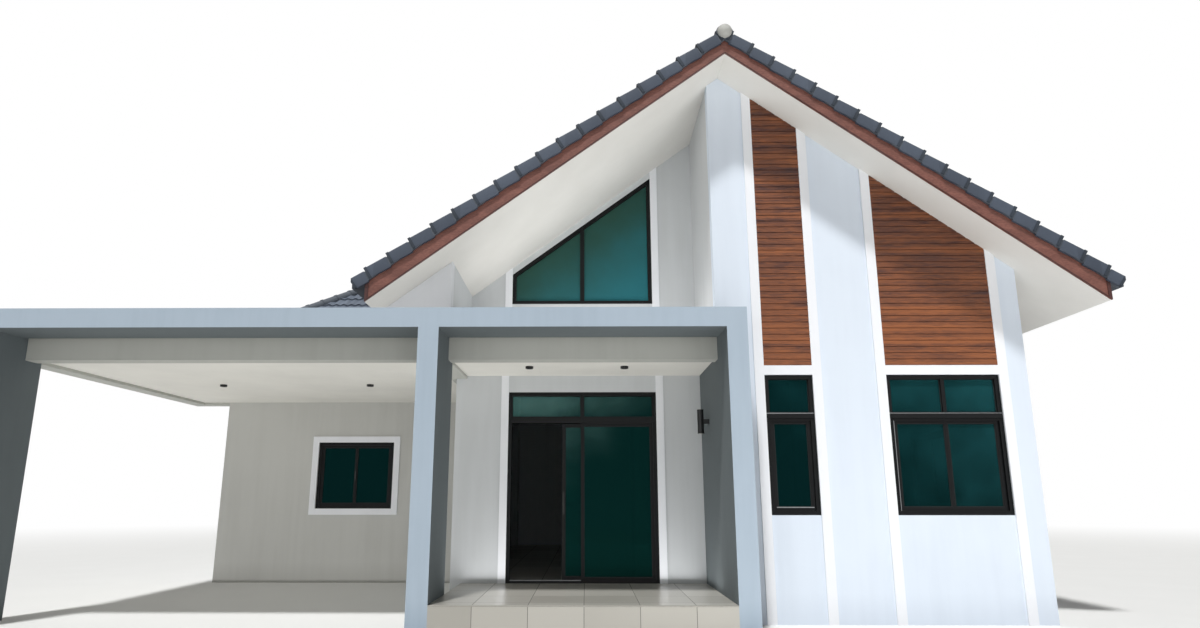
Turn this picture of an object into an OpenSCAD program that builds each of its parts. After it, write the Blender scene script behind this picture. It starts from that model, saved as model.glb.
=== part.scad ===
// Single-storey bungalow with a steep tiled front gable, a tall front bay,
// a recessed porch with a glass sliding door, a flat-roofed carport and a
// hip-roofed side wing. Millimetres. X runs to the right, Y to the rear, Z up.
// The origin is on the ground under the ridge, at the middle of the main block.

/* [Main block] */
// Front wall to rear wall of the main block, outer faces
main_depth = 11000; // [9000:50:14000]
// Ridge line to the outer face of the right wall
right_half = 3634; // [3500:1:3900]
// Ridge line to the inner face of the left wall
left_half = 3465; // [3300:5:3700]
// Ridge line to the left face of the front bay
bay_edge = 150; // [100:5:250]
// Thickness of every plastered wall
wall_t = 150; // [100:5:200]
// Front wall back to the face of the entry wall
entry_setback = 1550; // [1300:10:1800]
// Entry wall back to the face of the wall with the high window
upper_setback = 250; // [180:10:400]
// Ground to the floor of the rooms and the porch
floor_h = 300; // [200:10:450]
// Front edge of the porch floor, ahead of the front wall
porch_nose = 760; // [400:10:1000]

/* [Main roof] */
// Pitch of every roof slope, in degrees
pitch = 36.4; // [32:0.1:40]
// Ground to the underside of the soffit at the eaves
eave_h = 3676; // [3560:2:3900]
// Soffit lining
soffit_t = 20; // [12:1:30]
// Ridge line to the plumb end of the bargeboards
eave_half = 4385; // [4200:5:4700]
// Front and rear walls to the outer face of the bargeboards
gable_reach = 630; // [400:5:800]
// Plumb height of the bargeboards
barge_h = 220; // [160:5:280]
// Thickness of the bargeboards and fascia boards
board_t = 25; // [18:1:35]
// Plumb thickness of a tile course at its upper end
tile_t = 45; // [30:1:60]
// Rise of the lower edge of a course over the next one
tile_lip = 35; // [20:1:45]
// Number of tile courses from the ridge to the eave
courses = 18; // [14:1:22]
// Part of a course that the top one is longer and the last one shorter by
course_shift = 0.35; // [0:0.05:0.8]
// Overhang of the last course past the bargeboard's end
tile_reach = 155; // [100:5:200]
// Lift of the courses at the plumb ends of the bargeboards
eave_lift = 48; // [0:1:60]
// Thickness of the verge tiles over the courses
verge_t = 45; // [30:1:60]
// Width of the verge tiles on the slope
verge_w = 220; // [150:5:300]
// Depth of the verge flap down the face of the bargeboard
verge_drop = 50; // [30:1:70]
// Thickness of the verge flap
verge_flap = 35; // [25:1:50]
// Radius of the half-round ridge caps
cap_r = 110; // [90:1:130]
// Thickness of the collar where two ridge caps lap
cap_collar = 10; // [6:1:16]
// Length of the collar
cap_lap = 45; // [30:1:60]
// Length of one ridge cap
cap_len = 330; // [300:5:400]
// Axis of the ridge caps above the top of the courses
cap_rise = 0; // [-20:1:60]
// Radius of the ball that ends the ridge
ball_r = 94; // [80:1:120]
// Centre of the ball above the axis of the ridge caps
ball_rise = 14; // [-40:1:40]

/* [Side wing] */
// Left wall of the main block to the outer face of the wing's left wall
wing_w = 4645; // [4200:5:5200]
// Front wall of the main block back to the wing's front wall
wing_setback = 4710; // [4200:10:5200]
// Rear wall of the main block forward to the wing's rear wall
wing_rear_step = 600; // [500:10:900]
// Overhang of the wing's eaves
wing_eave = 600; // [450:10:700]
// Height of the wing's fascia boards
wing_fascia_h = 208; // [180:2:216]
// Overhang of the wing's last course past its fascia boards
wing_reach = 100; // [60:5:140]
// Number of tile courses from the wing's eaves to its ridge
wing_courses = 14; // [11:1:16]
// Axis of the wing's caps below the top of its courses
wing_cap_drop = 20; // [0:1:40]

/* [Canopy and carport] */
// Left wall of the wing to the outer face of the left fin
carport_reach = 700; // [600:10:900]
// Width of the fins and of the side beams
fin_w = 238; // [180:1:300]
// Front wall forward to the face of the canopy frame
frame_reach = 760; // [600:10:1000]
// Front wall back to the rear edge of the free fins
fin_back = 260; // [200:10:400]
// Top of the canopy frame below the eaves
eave_clear = 106; // [60:2:120]
// Height of the canopy's front beam
frame_h = 230; // [180:5:300]
// Gap between the frame's front beam and the white front beams
frame_gap = 90; // [50:5:250]
// Upstand of the frame above the canopy's roof slab
upstand = 70; // [40:5:100]
// Thickness of the canopy's roof slab
slab_t = 100; // [80:5:110]
// Height of the white beams under the slab
beam_h = 320; // [280:5:360]
// Front wall forward to the face of the white front beams
beam_front = 40; // [0:5:80]
// Depth of the white front beams
beam_depth = 220; // [180:5:300]
// Underside of the flat ceilings above the beams' underside
ceiling_rise = 40; // [20:5:80]
// Thickness of the ceiling boards
ceiling_t = 20; // [12:1:30]

/* [Front bay] */
// Ridge line to the left edge of the narrow window
narrow_x = 415; // [380:5:480]
// Width of the narrow window
narrow_w = 588; // [500:1:700]
// Right wall's outer face in to the right edge of the wide window
wide_in = 359; // [300:1:420]
// Width of the wide window
wide_w = 1375; // [1200:5:1450]
// Sill of the bay windows above the ground
bay_sill = 1220; // [1100:5:1300]
// Height of the bay windows
bay_window_h = 1670; // [1500:5:1800]
// Head of the bay windows down to the middle of their transom bars
bay_light_h = 503; // [450:1:560]
// Width of the white bands
band_w = 115; // [90:1:140]
// Thickness of the white bands
band_t = 25; // [15:1:40]
// Thickness of the timber panels
panel_t = 20; // [12:1:30]

/* [Window and door frames] */
// Face width of a window frame
frame_w = 50; // [40:1:60]
// Depth of a window frame
frame_d = 80; // [60:1:100]
// Face width of a sash
sash_w = 45; // [35:1:55]
// Depth of a sash
sash_d = 40; // [30:1:45]
// Height of a transom bar
transom_h = 90; // [60:1:100]
// Thickness of the glass
glass_t = 8; // [6:1:12]
// Setback of the bay windows, the high window and the door in their walls
frame_in = 10; // [0:1:30]

/* [Entry] */
// Ridge line to the left edge of the entry door frame
door_left = 2865; // [2800:5:2900]
// Ridge line to the right edge of the entry door frame
door_right = 780; // [700:5:850]
// Porch ceiling down to the head of the entry door frame
door_drop = 234; // [180:2:300]
// Head of the frame down to the underside of its transom bar
door_light_h = 436; // [400:2:480]
// Depth of the door frame
door_d = 120; // [110:1:140]
// Depth of a door leaf
leaf_d = 36; // [30:1:40]
// Width of a leaf's stiles and rails
leaf_w = 44; // [38:1:55]
// Clearance of the moving leaf all round
leaf_gap = 8; // [5:1:12]
// Gap between the two leaves, front to rear
lane_gap = 10; // [6:1:15]
// How far the sliding leaf stands open at rest
leaf_open = 700; // [400:10:800]
// Height of the track under the leaves
track_h = 30; // [20:1:40]
// Radius of the sliding leaf's rollers
roller_r = 12; // [8:1:16]
// Thickness of the rollers
roller_t = 14; // [8:1:20]
// Edge of the sliding leaf to the axis of a roller
roller_in = 132; // [100:2:200]
// Height of the high window at its low side
high_short = 458; // [400:2:520]
// Wall left between the soffit and the high window
high_drop = 100; // [80:5:150]
// Thickness of the bands at the sides of the entry
side_band_t = 15; // [10:1:30]
// Width of the bands at the sides of the entry
side_band_w = 105; // [80:1:130]

/* [Small windows] */
// Width of a small window
small_w = 1350; // [1100:10:1500]
// Height of a small window
small_h = 1155; // [900:5:1300]
// Sill of a small window above the ground
small_sill = 1245; // [1100:5:1350]
// Width of the white surround
surround_w = 105; // [80:1:130]
// Thickness of the white surround
surround_t = 25; // [15:1:40]
// Setback of a small window in its wall
small_in = 20; // [10:1:40]
// Left wall of the wing to the middle of the carport's window
carport_window_in = 2370; // [2100:10:2600]
// Middle of the main block to the middle of each window in the right wall
right_window_out = 2750; // [2000:10:3500]
// Ridge line to the middle of each window in the rear wall
rear_window_out = 1700; // [1300:10:2200]

/* [Lights] */
// Radius of a downlight's rim
downlight_r = 52; // [45:1:80]
// Width of a downlight's rim
downlight_rim = 12; // [8:1:20]
// Drop of a downlight's rim under the ceiling
downlight_drop = 30; // [10:1:40]
// Ridge line to the middle of the pair of porch downlights
porch_light_mid = 1890; // [1700:10:2000]
// Porch downlight to porch downlight
porch_light_gap = 1260; // [1000:10:1500]
// Front wall back to the porch downlights
porch_light_back = 730; // [500:10:1000]
// Carport downlight to carport downlight
carport_light_gap = 2260; // [1800:10:2800]
// Front wall back to the carport downlights
carport_light_back = 2400; // [2000:10:2800]
// Length of the wall lamp
lamp_len = 315; // [250:5:350]
// Radius of the wall lamp
lamp_r = 42; // [30:1:50]
// Height of the wall lamp's middle above the ground
lamp_h = 2400; // [2200:10:2600]
// Front wall back to the middle of the wall lamp
lamp_back = 840; // [700:10:1000]
// Gap between the wall and the wall lamp's body
lamp_gap = 68; // [10:1:90]
// Side of the wall lamp's square bracket
lamp_bracket = 60; // [40:1:80]

/* [Hidden] */

$fn = 48;
slope = tan(pitch);

// Running clearance between pieces that rest on each other
seat_gap = 0.3;
// Cuts run this far past the faces that they open
cut = 1;
// Longer than any piece
far = 20000;

// Depths measured back from the front wall
front_y = -main_depth / 2;
rear_y = main_depth / 2;
entry_y = front_y + entry_setback;
upper_y = entry_y + upper_setback;
wing_y = front_y + wing_setback;
wing_rear_y = rear_y - wing_rear_step;
wing_eave_front = wing_y - wing_eave;
wing_eave_rear = wing_rear_y + wing_eave;
barge_front = front_y - gable_reach;
barge_rear = rear_y + gable_reach;
verge_front = barge_front - verge_flap;
frame_y = front_y - frame_reach;
beam_y = front_y - beam_front;
beam_rear_y = beam_y - frame_gap;

// Sideways places, with the left side negative
bay_x = -bay_edge;
inner_left = -left_half;
outer_left = inner_left - wall_t;
wing_x = outer_left - wing_w;
wing_eave_x = wing_x - wing_eave;
canopy_x = wing_x - carport_reach;
mid_fin_x = inner_left - fin_w;
wide_x = right_half - wide_in - wide_w;
door_x0 = -door_left;
door_x1 = -door_right;
door_mid = (door_x0 + door_x1) / 2;
carport_window_x = wing_x + carport_window_in;
wing_rear_window_x = (wing_x + outer_left) / 2;
wing_window_y = (wing_y + wing_rear_y) / 2;

// Heights of the roofs
apex_h = eave_h + slope * eave_half;
tile_low = barge_h + seat_gap;
tile_top = tile_low + tile_t;
tile_half = eave_half + tile_reach;
tile_run = tile_half / courses;
course_slope = slope - eave_lift / eave_half;
cap_z = apex_h + tile_top + cap_rise;
wing_fascia_top = eave_h + barge_h;
wing_soffit_h = wing_fascia_top - wing_fascia_h;
wing_mid = (wing_eave_front + wing_eave_rear) / 2;
wing_half = (wing_eave_rear - wing_eave_front) / 2 + wing_reach;
wing_low = wing_fascia_top + seat_gap - slope * wing_reach;

// Heights of the canopy
frame_top = eave_h - eave_clear;
canopy_low = frame_top - frame_h;
slab_top = frame_top - upstand;
slab_low = slab_top - slab_t;
beam_low = slab_low - beam_h;
ceiling_low = beam_low + ceiling_rise;

// Heights and planes of the bay windows and the high window
bay_head = bay_sill + bay_window_h;
bay_bar_low = bay_head - bay_light_h - transom_h / 2;
bay_bar_top = bay_bar_low + transom_h;
bay_frame_y = front_y + frame_in;
high_sill = soffit_z(door_x0) - high_drop - high_short;
high_frame_y = upper_y + frame_in;

// Heights, widths and planes of the entry door
door_head = ceiling_low - door_drop;
door_bar = door_head - door_light_h;
door_y = entry_y + frame_in;
door_light_w = (door_x1 - door_x0 - 2 * frame_w - sash_w) / 2;
track_top = floor_h + track_h;
leaf_len = (door_x1 - door_x0 - 2 * frame_w + leaf_w) / 2;
leaf_low = track_top + leaf_gap;
leaf_high = door_bar - leaf_gap;
fixed_x = door_x1 - frame_w - leaf_len;
fixed_y = door_y + (door_d - lane_gap) / 2 - leaf_d;
slide_x = door_x0 + frame_w + leaf_gap + leaf_open;
slide_y = door_y + (door_d + lane_gap) / 2;

// Height of the soffit's underside at a distance from the ridge line
function soffit_z(x) = apex_h - slope * abs(x);

// Top of a wall under the sloping soffit
function wall_z(x) = soffit_z(x) - seat_gap;

// Line of the courses from the soffit's apex, a little flatter than the soffit
function course_z(x) = apex_h - course_slope * abs(x);

// Stepped outline of the courses from the ridge out to the eave, raised by rise;
// side is 1 for the right slope and -1 for the left one
function stepped(side, rise) = [
  for (i = [0 : courses - 1], e = [0, 1])
    let (
      place = i + e == 0 ? 0 : min(courses, i + e + course_shift),
      x = place * tile_run
    )
    [side * x, course_z(x) + rise + tile_lip * (place - i - course_shift)]
];

function backwards(points) = [for (i = [len(points) - 1 : -1 : 0]) points[i]];

module block(x0, x1, y0, y1, z0, z1) {
  translate([x0, y0, z0])
    cube([x1 - x0, y1 - y0, z1 - z0]);
}

// A front elevation drawn in X and Z, given the depth from y0 to y1
module across(y0, y1) {
  translate([0, y1, 0])
    rotate([90, 0, 0])
      linear_extrude(y1 - y0)
        children();
}

// A side elevation drawn in Y and Z, given the width from x0 to x1
module along(x0, x1) {
  translate([x0, 0, 0])
    rotate([90, 0, 90])
      linear_extrude(x1 - x0)
        children();
}

// Elevation of a wall from z0 up to the sloping soffit
module under_soffit(x0, x1, z0) {
  apex = x0 < 0 && x1 > 0 ? [[0, wall_z(0)]] : [];
  polygon(concat([[x0, z0], [x0, wall_z(x0)]], apex, [[x1, wall_z(x1)], [x1, z0]]));
}

module rectangle(x0, x1, z0, z1) {
  translate([x0, z0])
    square([x1 - x0, z1 - z0]);
}

// A bent band between two lines that follow the soffit, low and high above it
module chevron(low, high, half) {
  polygon([
    [0, apex_h + low], [half, soffit_z(half) + low], [half, soffit_z(half) + high],
    [0, apex_h + high], [-half, soffit_z(half) + high], [-half, soffit_z(half) + low]
  ]);
}

// A bent band from low over the line of the soffit to high over the line of the courses
module roof_band(low, high, half) {
  polygon([
    [0, apex_h + low], [half, soffit_z(half) + low], [half, course_z(half) + high],
    [0, apex_h + high], [-half, course_z(half) + high], [-half, soffit_z(half) + low]
  ]);
}

// Everything from the ground up to the stepped courses, raised by rise
module under_courses(rise) {
  polygon(concat(
    [[-tile_half, 0]], backwards(stepped(-1, rise)), stepped(1, rise), [[tile_half, 0]]
  ));
}

// Floors

// One slab to the inner faces of the walls, and through the doorway
module floor_slab() {
  bay_in = bay_x + wall_t;
  right_in = right_half - wall_t;
  entry_in = entry_y + wall_t;
  upper_in = upper_y + wall_t;
  color("gainsboro")
    linear_extrude(floor_h)
      polygon([
        [bay_in, front_y + wall_t], [right_in, front_y + wall_t], [right_in, rear_y - wall_t],
        [inner_left, rear_y - wall_t], [inner_left, wing_rear_y - wall_t],
        [wing_x + wall_t, wing_rear_y - wall_t], [wing_x + wall_t, wing_y + wall_t],
        [inner_left, wing_y + wall_t], [inner_left, entry_in], [door_x0, entry_in],
        [door_x0, entry_y], [door_x1, entry_y], [door_x1, entry_in], [bay_x, entry_in],
        [bay_x, upper_in], [bay_in, upper_in]
      ]);
}

module porch_floor() {
  color("gainsboro")
    block(inner_left, bay_x, front_y - porch_nose, entry_y, 0, floor_h);
}

// Walls of the main block

module front_bay_wall() {
  color("white")
    across(front_y, front_y + wall_t)
      difference() {
        under_soffit(bay_x, right_half, 0);
        rectangle(narrow_x, narrow_x + narrow_w, bay_sill, bay_head);
        rectangle(wide_x, wide_x + wide_w, bay_sill, bay_head);
      }
}

module bay_side_wall() {
  color("gainsboro")
    across(front_y + wall_t, upper_y + wall_t)
      under_soffit(bay_x, bay_x + wall_t, 0);
}

module right_wall() {
  color("white")
    difference() {
      across(front_y + wall_t, rear_y - wall_t)
        under_soffit(right_half - wall_t, right_half, 0);
      for (y = [-right_window_out, right_window_out])
        block(right_half - wall_t - cut, right_half + cut, y - small_w / 2, y + small_w / 2,
              small_sill, small_sill + small_h);
    }
}

module rear_wall() {
  color("white")
    across(rear_y - wall_t, rear_y)
      difference() {
        under_soffit(outer_left, right_half, 0);
        for (x = [-rear_window_out, rear_window_out])
          rectangle(x - small_w / 2, x + small_w / 2, small_sill, small_sill + small_h);
      }
}

module left_walls() {
  color("gainsboro") {
    across(entry_y, wing_y + wall_t)
      under_soffit(outer_left, inner_left, 0);
    across(wing_rear_y - wall_t, rear_y - wall_t)
      under_soffit(outer_left, inner_left, 0);
  }
}

module recess_left_wall() {
  color("gainsboro")
    across(front_y + wall_t, entry_y)
      under_soffit(outer_left, inner_left, slab_top);
}

module gable_infill_wall() {
  color("white")
    across(front_y, front_y + wall_t)
      under_soffit(-eave_half, inner_left, slab_top);
}

module entry_side_walls() {
  color("gainsboro") {
    block(inner_left, door_x0, entry_y, entry_y + wall_t, 0, slab_low);
    block(door_x1, bay_x, entry_y, entry_y + wall_t, 0, slab_low);
  }
}

module entry_wall_over() {
  color("gainsboro")
    block(door_x0, door_x1, entry_y, entry_y + wall_t, door_head, slab_low);
}

// Elevation of the high window, inset all round by inset
module high_window(inset) {
  top = high_drop + inset / cos(pitch);
  x0 = door_x0 + inset;
  x1 = door_x1 - inset;
  polygon([
    [x0, high_sill + inset], [x1, high_sill + inset],
    [x1, soffit_z(x1) - top], [x0, soffit_z(x0) - top]
  ]);
}

module clerestory_wall() {
  color("gainsboro")
    across(upper_y, upper_y + wall_t)
      difference() {
        under_soffit(inner_left, bay_x, slab_top);
        high_window(0);
      }
}

// Walls of the wing

// Elevation of a cross wall: level under the flat soffit, then up the main slope
module wing_wall_outline() {
  level = wing_soffit_h - seat_gap;
  polygon([
    [wing_x, 0], [wing_x, level], [-eave_half, level], [-eave_half, wall_z(-eave_half)],
    [outer_left, wall_z(outer_left)], [outer_left, 0]
  ]);
}

module wing_front_wall() {
  color("gainsboro")
    across(wing_y, wing_y + wall_t)
      difference() {
        wing_wall_outline();
        rectangle(carport_window_x - small_w / 2, carport_window_x + small_w / 2,
                  small_sill, small_sill + small_h);
      }
}

module wing_left_wall() {
  color("white")
    difference() {
      block(wing_x, wing_x + wall_t, wing_y + wall_t, wing_rear_y - wall_t, 0, wing_soffit_h - seat_gap);
      block(wing_x - cut, wing_x + wall_t + cut, wing_window_y - small_w / 2,
            wing_window_y + small_w / 2, small_sill, small_sill + small_h);
    }
}

module wing_rear_wall() {
  color("white")
    across(wing_rear_y - wall_t, wing_rear_y)
      difference() {
        wing_wall_outline();
        rectangle(wing_rear_window_x - small_w / 2, wing_rear_window_x + small_w / 2,
                  small_sill, small_sill + small_h);
      }
}

// Bands and timber panels on the bay

module bay_band_frame(x, w) {
  difference() {
    under_soffit(x - band_w, x + w + band_w, 0);
    rectangle(x, x + w, -cut, bay_head);
    rectangle(x, x + w, bay_head + band_w, far);
  }
}

module white_bands() {
  color("white") {
    across(front_y - band_t, front_y) {
      bay_band_frame(narrow_x, narrow_w);
      bay_band_frame(wide_x, wide_w);
    }
    across(upper_y - side_band_t, upper_y)
      for (x = [door_x0 - side_band_w, door_x1])
        under_soffit(x, x + side_band_w, slab_top);
    for (x = [door_x0 - side_band_w, door_x1])
      block(x, x + side_band_w, entry_y - side_band_t, entry_y, floor_h, ceiling_low);
  }
}

module wood_panels() {
  color("sienna")
    across(front_y - panel_t, front_y) {
      under_soffit(narrow_x, narrow_x + narrow_w, bay_head + band_w);
      under_soffit(wide_x, wide_x + wide_w, bay_head + band_w);
    }
}

// Bay windows, with their left edge at x, and lights panes side by side

// The fixed lights over the transom bar, side by side
module bay_upper_lights(x, w, lights) {
  step = (w - 2 * frame_w - (lights - 1) * sash_w) / lights;
  for (i = [0 : lights - 1])
    let (x0 = x + frame_w + i * (step + sash_w))
      rectangle(x0, x0 + step, bay_bar_top, bay_head - frame_w);
}

// The panes of the sashes under the transom bar, side by side
module bay_lower_lights(x, w, lights) {
  step = (w - 2 * frame_w - (lights + 1) * sash_w) / lights;
  for (i = [0 : lights - 1])
    let (x0 = x + frame_w + sash_w + i * (step + sash_w))
      rectangle(x0, x0 + step, bay_sill + frame_w + sash_w, bay_bar_low - sash_w);
}

module bay_window_frame(x, w, lights) {
  union() {
    across(bay_frame_y, bay_frame_y + frame_d)
      difference() {
        rectangle(x, x + w, bay_sill, bay_head);
        rectangle(x + frame_w, x + w - frame_w, bay_sill + frame_w, bay_bar_low);
        bay_upper_lights(x, w, lights);
      }
    across(bay_frame_y + (frame_d - sash_d) / 2, bay_frame_y + (frame_d + sash_d) / 2)
      difference() {
        rectangle(x + frame_w, x + w - frame_w, bay_sill + frame_w, bay_bar_low);
        bay_lower_lights(x, w, lights);
      }
  }
}

module bay_window_frames() {
  color("black") {
    bay_window_frame(narrow_x, narrow_w, 1);
    bay_window_frame(wide_x, wide_w, 2);
  }
}

module bay_glass(x, w, lights) {
  across(bay_frame_y + (frame_d - glass_t) / 2, bay_frame_y + (frame_d + glass_t) / 2) {
    bay_upper_lights(x, w, lights);
    bay_lower_lights(x, w, lights);
  }
}

module bay_window_glass() {
  color("darkgreen", 0.5) {
    bay_glass(narrow_x, narrow_w, 1);
    bay_glass(wide_x, wide_w, 2);
  }
}

// The two lights of the high window, either side of its mullion
module high_lights() {
  difference() {
    high_window(frame_w);
    rectangle(door_mid - frame_w / 2, door_mid + frame_w / 2, high_sill, far);
  }
}

module clerestory_frame() {
  color("black")
    across(high_frame_y, high_frame_y + frame_d)
      difference() {
        high_window(0);
        high_lights();
      }
}

module clerestory_glass() {
  color("darkgreen", 0.5)
    across(high_frame_y + (frame_d - glass_t) / 2, high_frame_y + (frame_d + glass_t) / 2)
      high_lights();
}

// Small sliding windows, each drawn in a wall whose outer face is the plane Y = 0,
// with its middle at X = 0, looking from outside along Y

// Outline of the opening, inset all round by inset
module small_outline(inset) {
  rectangle(-small_w / 2 + inset, small_w / 2 - inset, small_sill + inset, small_sill + small_h - inset);
}

// The panes either side of the meeting stile
module small_lights() {
  difference() {
    small_outline(frame_w + sash_w);
    rectangle(-sash_w / 2, sash_w / 2, 0, far);
  }
}

module small_frame() {
  union() {
    across(small_in, small_in + frame_d)
      difference() {
        small_outline(0);
        small_outline(frame_w);
      }
    across(small_in + (frame_d - sash_d) / 2, small_in + (frame_d + sash_d) / 2)
      difference() {
        small_outline(frame_w);
        small_lights();
      }
  }
}

module small_glass() {
  across(small_in + (frame_d - glass_t) / 2, small_in + (frame_d + glass_t) / 2)
    small_lights();
}

module small_surround() {
  across(-surround_t, 0)
    difference() {
      small_outline(-surround_w);
      small_outline(0);
    }
}

// Puts a small window's piece in each wall that has one
module at_small_windows() {
  translate([carport_window_x, wing_y, 0])
    children();
  translate([wing_x, wing_window_y, 0])
    rotate([0, 0, -90])
      children();
  translate([wing_rear_window_x, wing_rear_y, 0])
    rotate([0, 0, 180])
      children();
  for (x = [-rear_window_out, rear_window_out])
    translate([x, rear_y, 0])
      rotate([0, 0, 180])
        children();
  for (y = [-right_window_out, right_window_out])
    translate([right_half, y, 0])
      rotate([0, 0, 90])
        children();
}

module small_window_frames() {
  color("black")
    at_small_windows()
      small_frame();
}

module small_window_glass() {
  color("darkgreen", 0.5)
    at_small_windows()
      small_glass();
}

module small_window_surrounds() {
  color("white")
    at_small_windows()
      small_surround();
}

// Entry door

// The two lights over the door's transom bar
module door_lights() {
  for (i = [0, 1])
    let (x0 = door_x0 + frame_w + i * (door_light_w + sash_w))
      rectangle(x0, x0 + door_light_w, door_bar + transom_h, door_head - frame_w);
}

module door_frame() {
  color("black")
    across(door_y, door_y + door_d)
      difference() {
        rectangle(door_x0, door_x1, floor_h, door_head);
        rectangle(door_x0 + frame_w, door_x1 - frame_w, track_top, door_bar);
        door_lights();
      }
}

// Outline of a door leaf between two heights, and of its pane
module leaf_outline(x, low, high, inset) {
  rectangle(x + inset, x + leaf_len - inset, low + inset, high - inset);
}

module leaf_frame(x, y, low, high) {
  across(y, y + leaf_d)
    difference() {
      leaf_outline(x, low, high, 0);
      leaf_outline(x, low, high, leaf_w);
    }
}

module leaf_pane(x, y, low, high) {
  across(y + (leaf_d - glass_t) / 2, y + (leaf_d + glass_t) / 2)
    leaf_outline(x, low, high, leaf_w);
}

module door_fixed_leaf() {
  color("black")
    leaf_frame(fixed_x, fixed_y, track_top, door_bar);
}

module door_fixed_glass() {
  color("darkgreen", 0.5) {
    leaf_pane(fixed_x, fixed_y, track_top, door_bar);
    across(door_y + (door_d - glass_t) / 2, door_y + (door_d + glass_t) / 2)
      door_lights();
  }
}

module sliding_leaf() {
  color("black")
    union() {
      leaf_frame(slide_x, slide_y, leaf_low, leaf_high);
      for (x = [slide_x + roller_in, slide_x + leaf_len - roller_in])
        translate([x, slide_y + (leaf_d + roller_t) / 2, track_top + seat_gap + roller_r])
          rotate([90, 0, 0])
            cylinder(r = roller_r, h = roller_t);
    }
}

module sliding_glass() {
  color("darkgreen", 0.5)
    leaf_pane(slide_x, slide_y, leaf_low, leaf_high);
}

// Canopy over the porch and the carport

module fin(x, back) {
  block(x, x + fin_w, frame_y, back, 0, slab_low);
}

module canopy_frame() {
  color("lightsteelblue")
    union() {
      block(canopy_x, bay_x + fin_w, frame_y, beam_rear_y, canopy_low, frame_top);
      block(bay_x, bay_x + fin_w, beam_rear_y, front_y, slab_low, frame_top);
      fin(canopy_x, front_y + fin_back);
      fin(mid_fin_x, front_y + fin_back);
      fin(bay_x, front_y);
    }
}

module canopy_beams() {
  color("whitesmoke")
    difference() {
      union() {
        block(canopy_x, bay_x, beam_y, beam_y + beam_depth, beam_low, slab_low);
        block(canopy_x, canopy_x + fin_w, beam_y, wing_y + fin_w, beam_low, slab_low);
        block(mid_fin_x, inner_left, beam_y, entry_y, beam_low, slab_low);
        block(mid_fin_x, outer_left, beam_y, wing_y, beam_low, slab_low);
        block(canopy_x, wing_x, wing_y, wing_y + fin_w, beam_low, slab_low);
      }
      fin(canopy_x, front_y + fin_back);
      fin(mid_fin_x, front_y + fin_back);
    }
}

module canopy_slab() {
  back = wing_y + fin_w;
  color("silver")
    translate([0, 0, slab_low])
      linear_extrude(slab_t)
        polygon([
          [canopy_x, beam_rear_y], [bay_x, beam_rear_y], [bay_x, upper_y + wall_t],
          [inner_left, upper_y + wall_t], [inner_left, entry_y], [outer_left, entry_y],
          [outer_left, wing_y], [wing_x, wing_y], [wing_x, back], [canopy_x, back]
        ]);
}

module canopy_ceilings() {
  y0 = beam_y + beam_depth;
  color("whitesmoke") {
    block(canopy_x + fin_w, mid_fin_x, y0, wing_y, ceiling_low, ceiling_low + ceiling_t);
    block(inner_left, bay_x, y0, entry_y, ceiling_low, ceiling_low + ceiling_t);
  }
}

// Main roof

module main_slope(side) {
  across(barge_front, barge_rear)
    polygon(concat(
      stepped(side, tile_top),
      [[side * tile_half, course_z(tile_half) + tile_low], [0, apex_h + tile_low]]
    ));
}

module main_roof_left() {
  color("dimgray")
    main_slope(-1);
}

module main_roof_right() {
  color("dimgray")
    main_slope(1);
}

module main_soffit() {
  color("whitesmoke")
    across(barge_front + board_t, barge_rear - board_t)
      chevron(0, soffit_t, eave_half);
}

module bargeboards() {
  color("sienna") {
    across(barge_front, barge_front + board_t)
      roof_band(0, barge_h, eave_half);
    across(barge_rear - board_t, barge_rear)
      roof_band(0, barge_h, eave_half);
  }
}

// The cover over the courses
module verge_cover() {
  for (side = [-1, 1])
    polygon(concat(
      stepped(side, tile_top + verge_t), backwards(stepped(side, tile_top + seat_gap))
    ));
}

// The flap's face, with a straight lower edge and its foot square to the slope
module verge_face() {
  foot = tile_half - (tile_t + verge_t + verge_drop) * sin(pitch) * cos(pitch);
  low = tile_low - verge_drop;
  for (side = [-1, 1])
    polygon(concat(
      stepped(side, tile_top + verge_t), [[side * foot, course_z(foot) + low], [0, apex_h + low]]
    ));
}

module verge_tiles() {
  color("dimgray")
    for (end = [0, 1])
      mirror([0, end, 0])
        union() {
          across(verge_front, barge_front)
            verge_face();
          across(verge_front, barge_front + verge_w)
            verge_cover();
        }
}

// Boards on the soffit's edges at the main eaves, and the ring of boards round the
// wing's eaves, which runs in under the main tiles
module eave_fascias() {
  board_in = eave_half - board_t;
  foot = soffit_t + seat_gap;
  color("sienna") {
    for (side = [-1, 1])
      across(barge_front + board_t, barge_rear - board_t)
        polygon([
          [side * eave_half, soffit_z(eave_half) + foot],
          [side * eave_half, course_z(eave_half) + barge_h],
          [side * board_in, course_z(board_in) + barge_h],
          [side * board_in, soffit_z(board_in) + foot]
        ]);
    difference() {
      block(wing_eave_x, -eave_half - seat_gap, wing_eave_front, wing_eave_rear,
            wing_soffit_h, wing_fascia_top);
      block(wing_eave_x + board_t, 0, wing_eave_front + board_t, wing_eave_rear - board_t,
            wing_soffit_h - cut, wing_fascia_top + cut);
      across(barge_front, barge_rear)
        polygon([
          [0, apex_h + barge_h], [-tile_half, course_z(tile_half) + barge_h],
          [-tile_half, far], [0, far]
        ]);
    }
  }
}

// A run of round caps along Z, each lapped by the collar of the next one
module capped_run(length) {
  union() {
    cylinder(r = cap_r, h = length);
    for (i = [1 : floor((length - cap_lap) / cap_len)])
      translate([0, 0, i * cap_len])
        cylinder(r = cap_r + cap_collar, h = cap_lap);
  }
}

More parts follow.
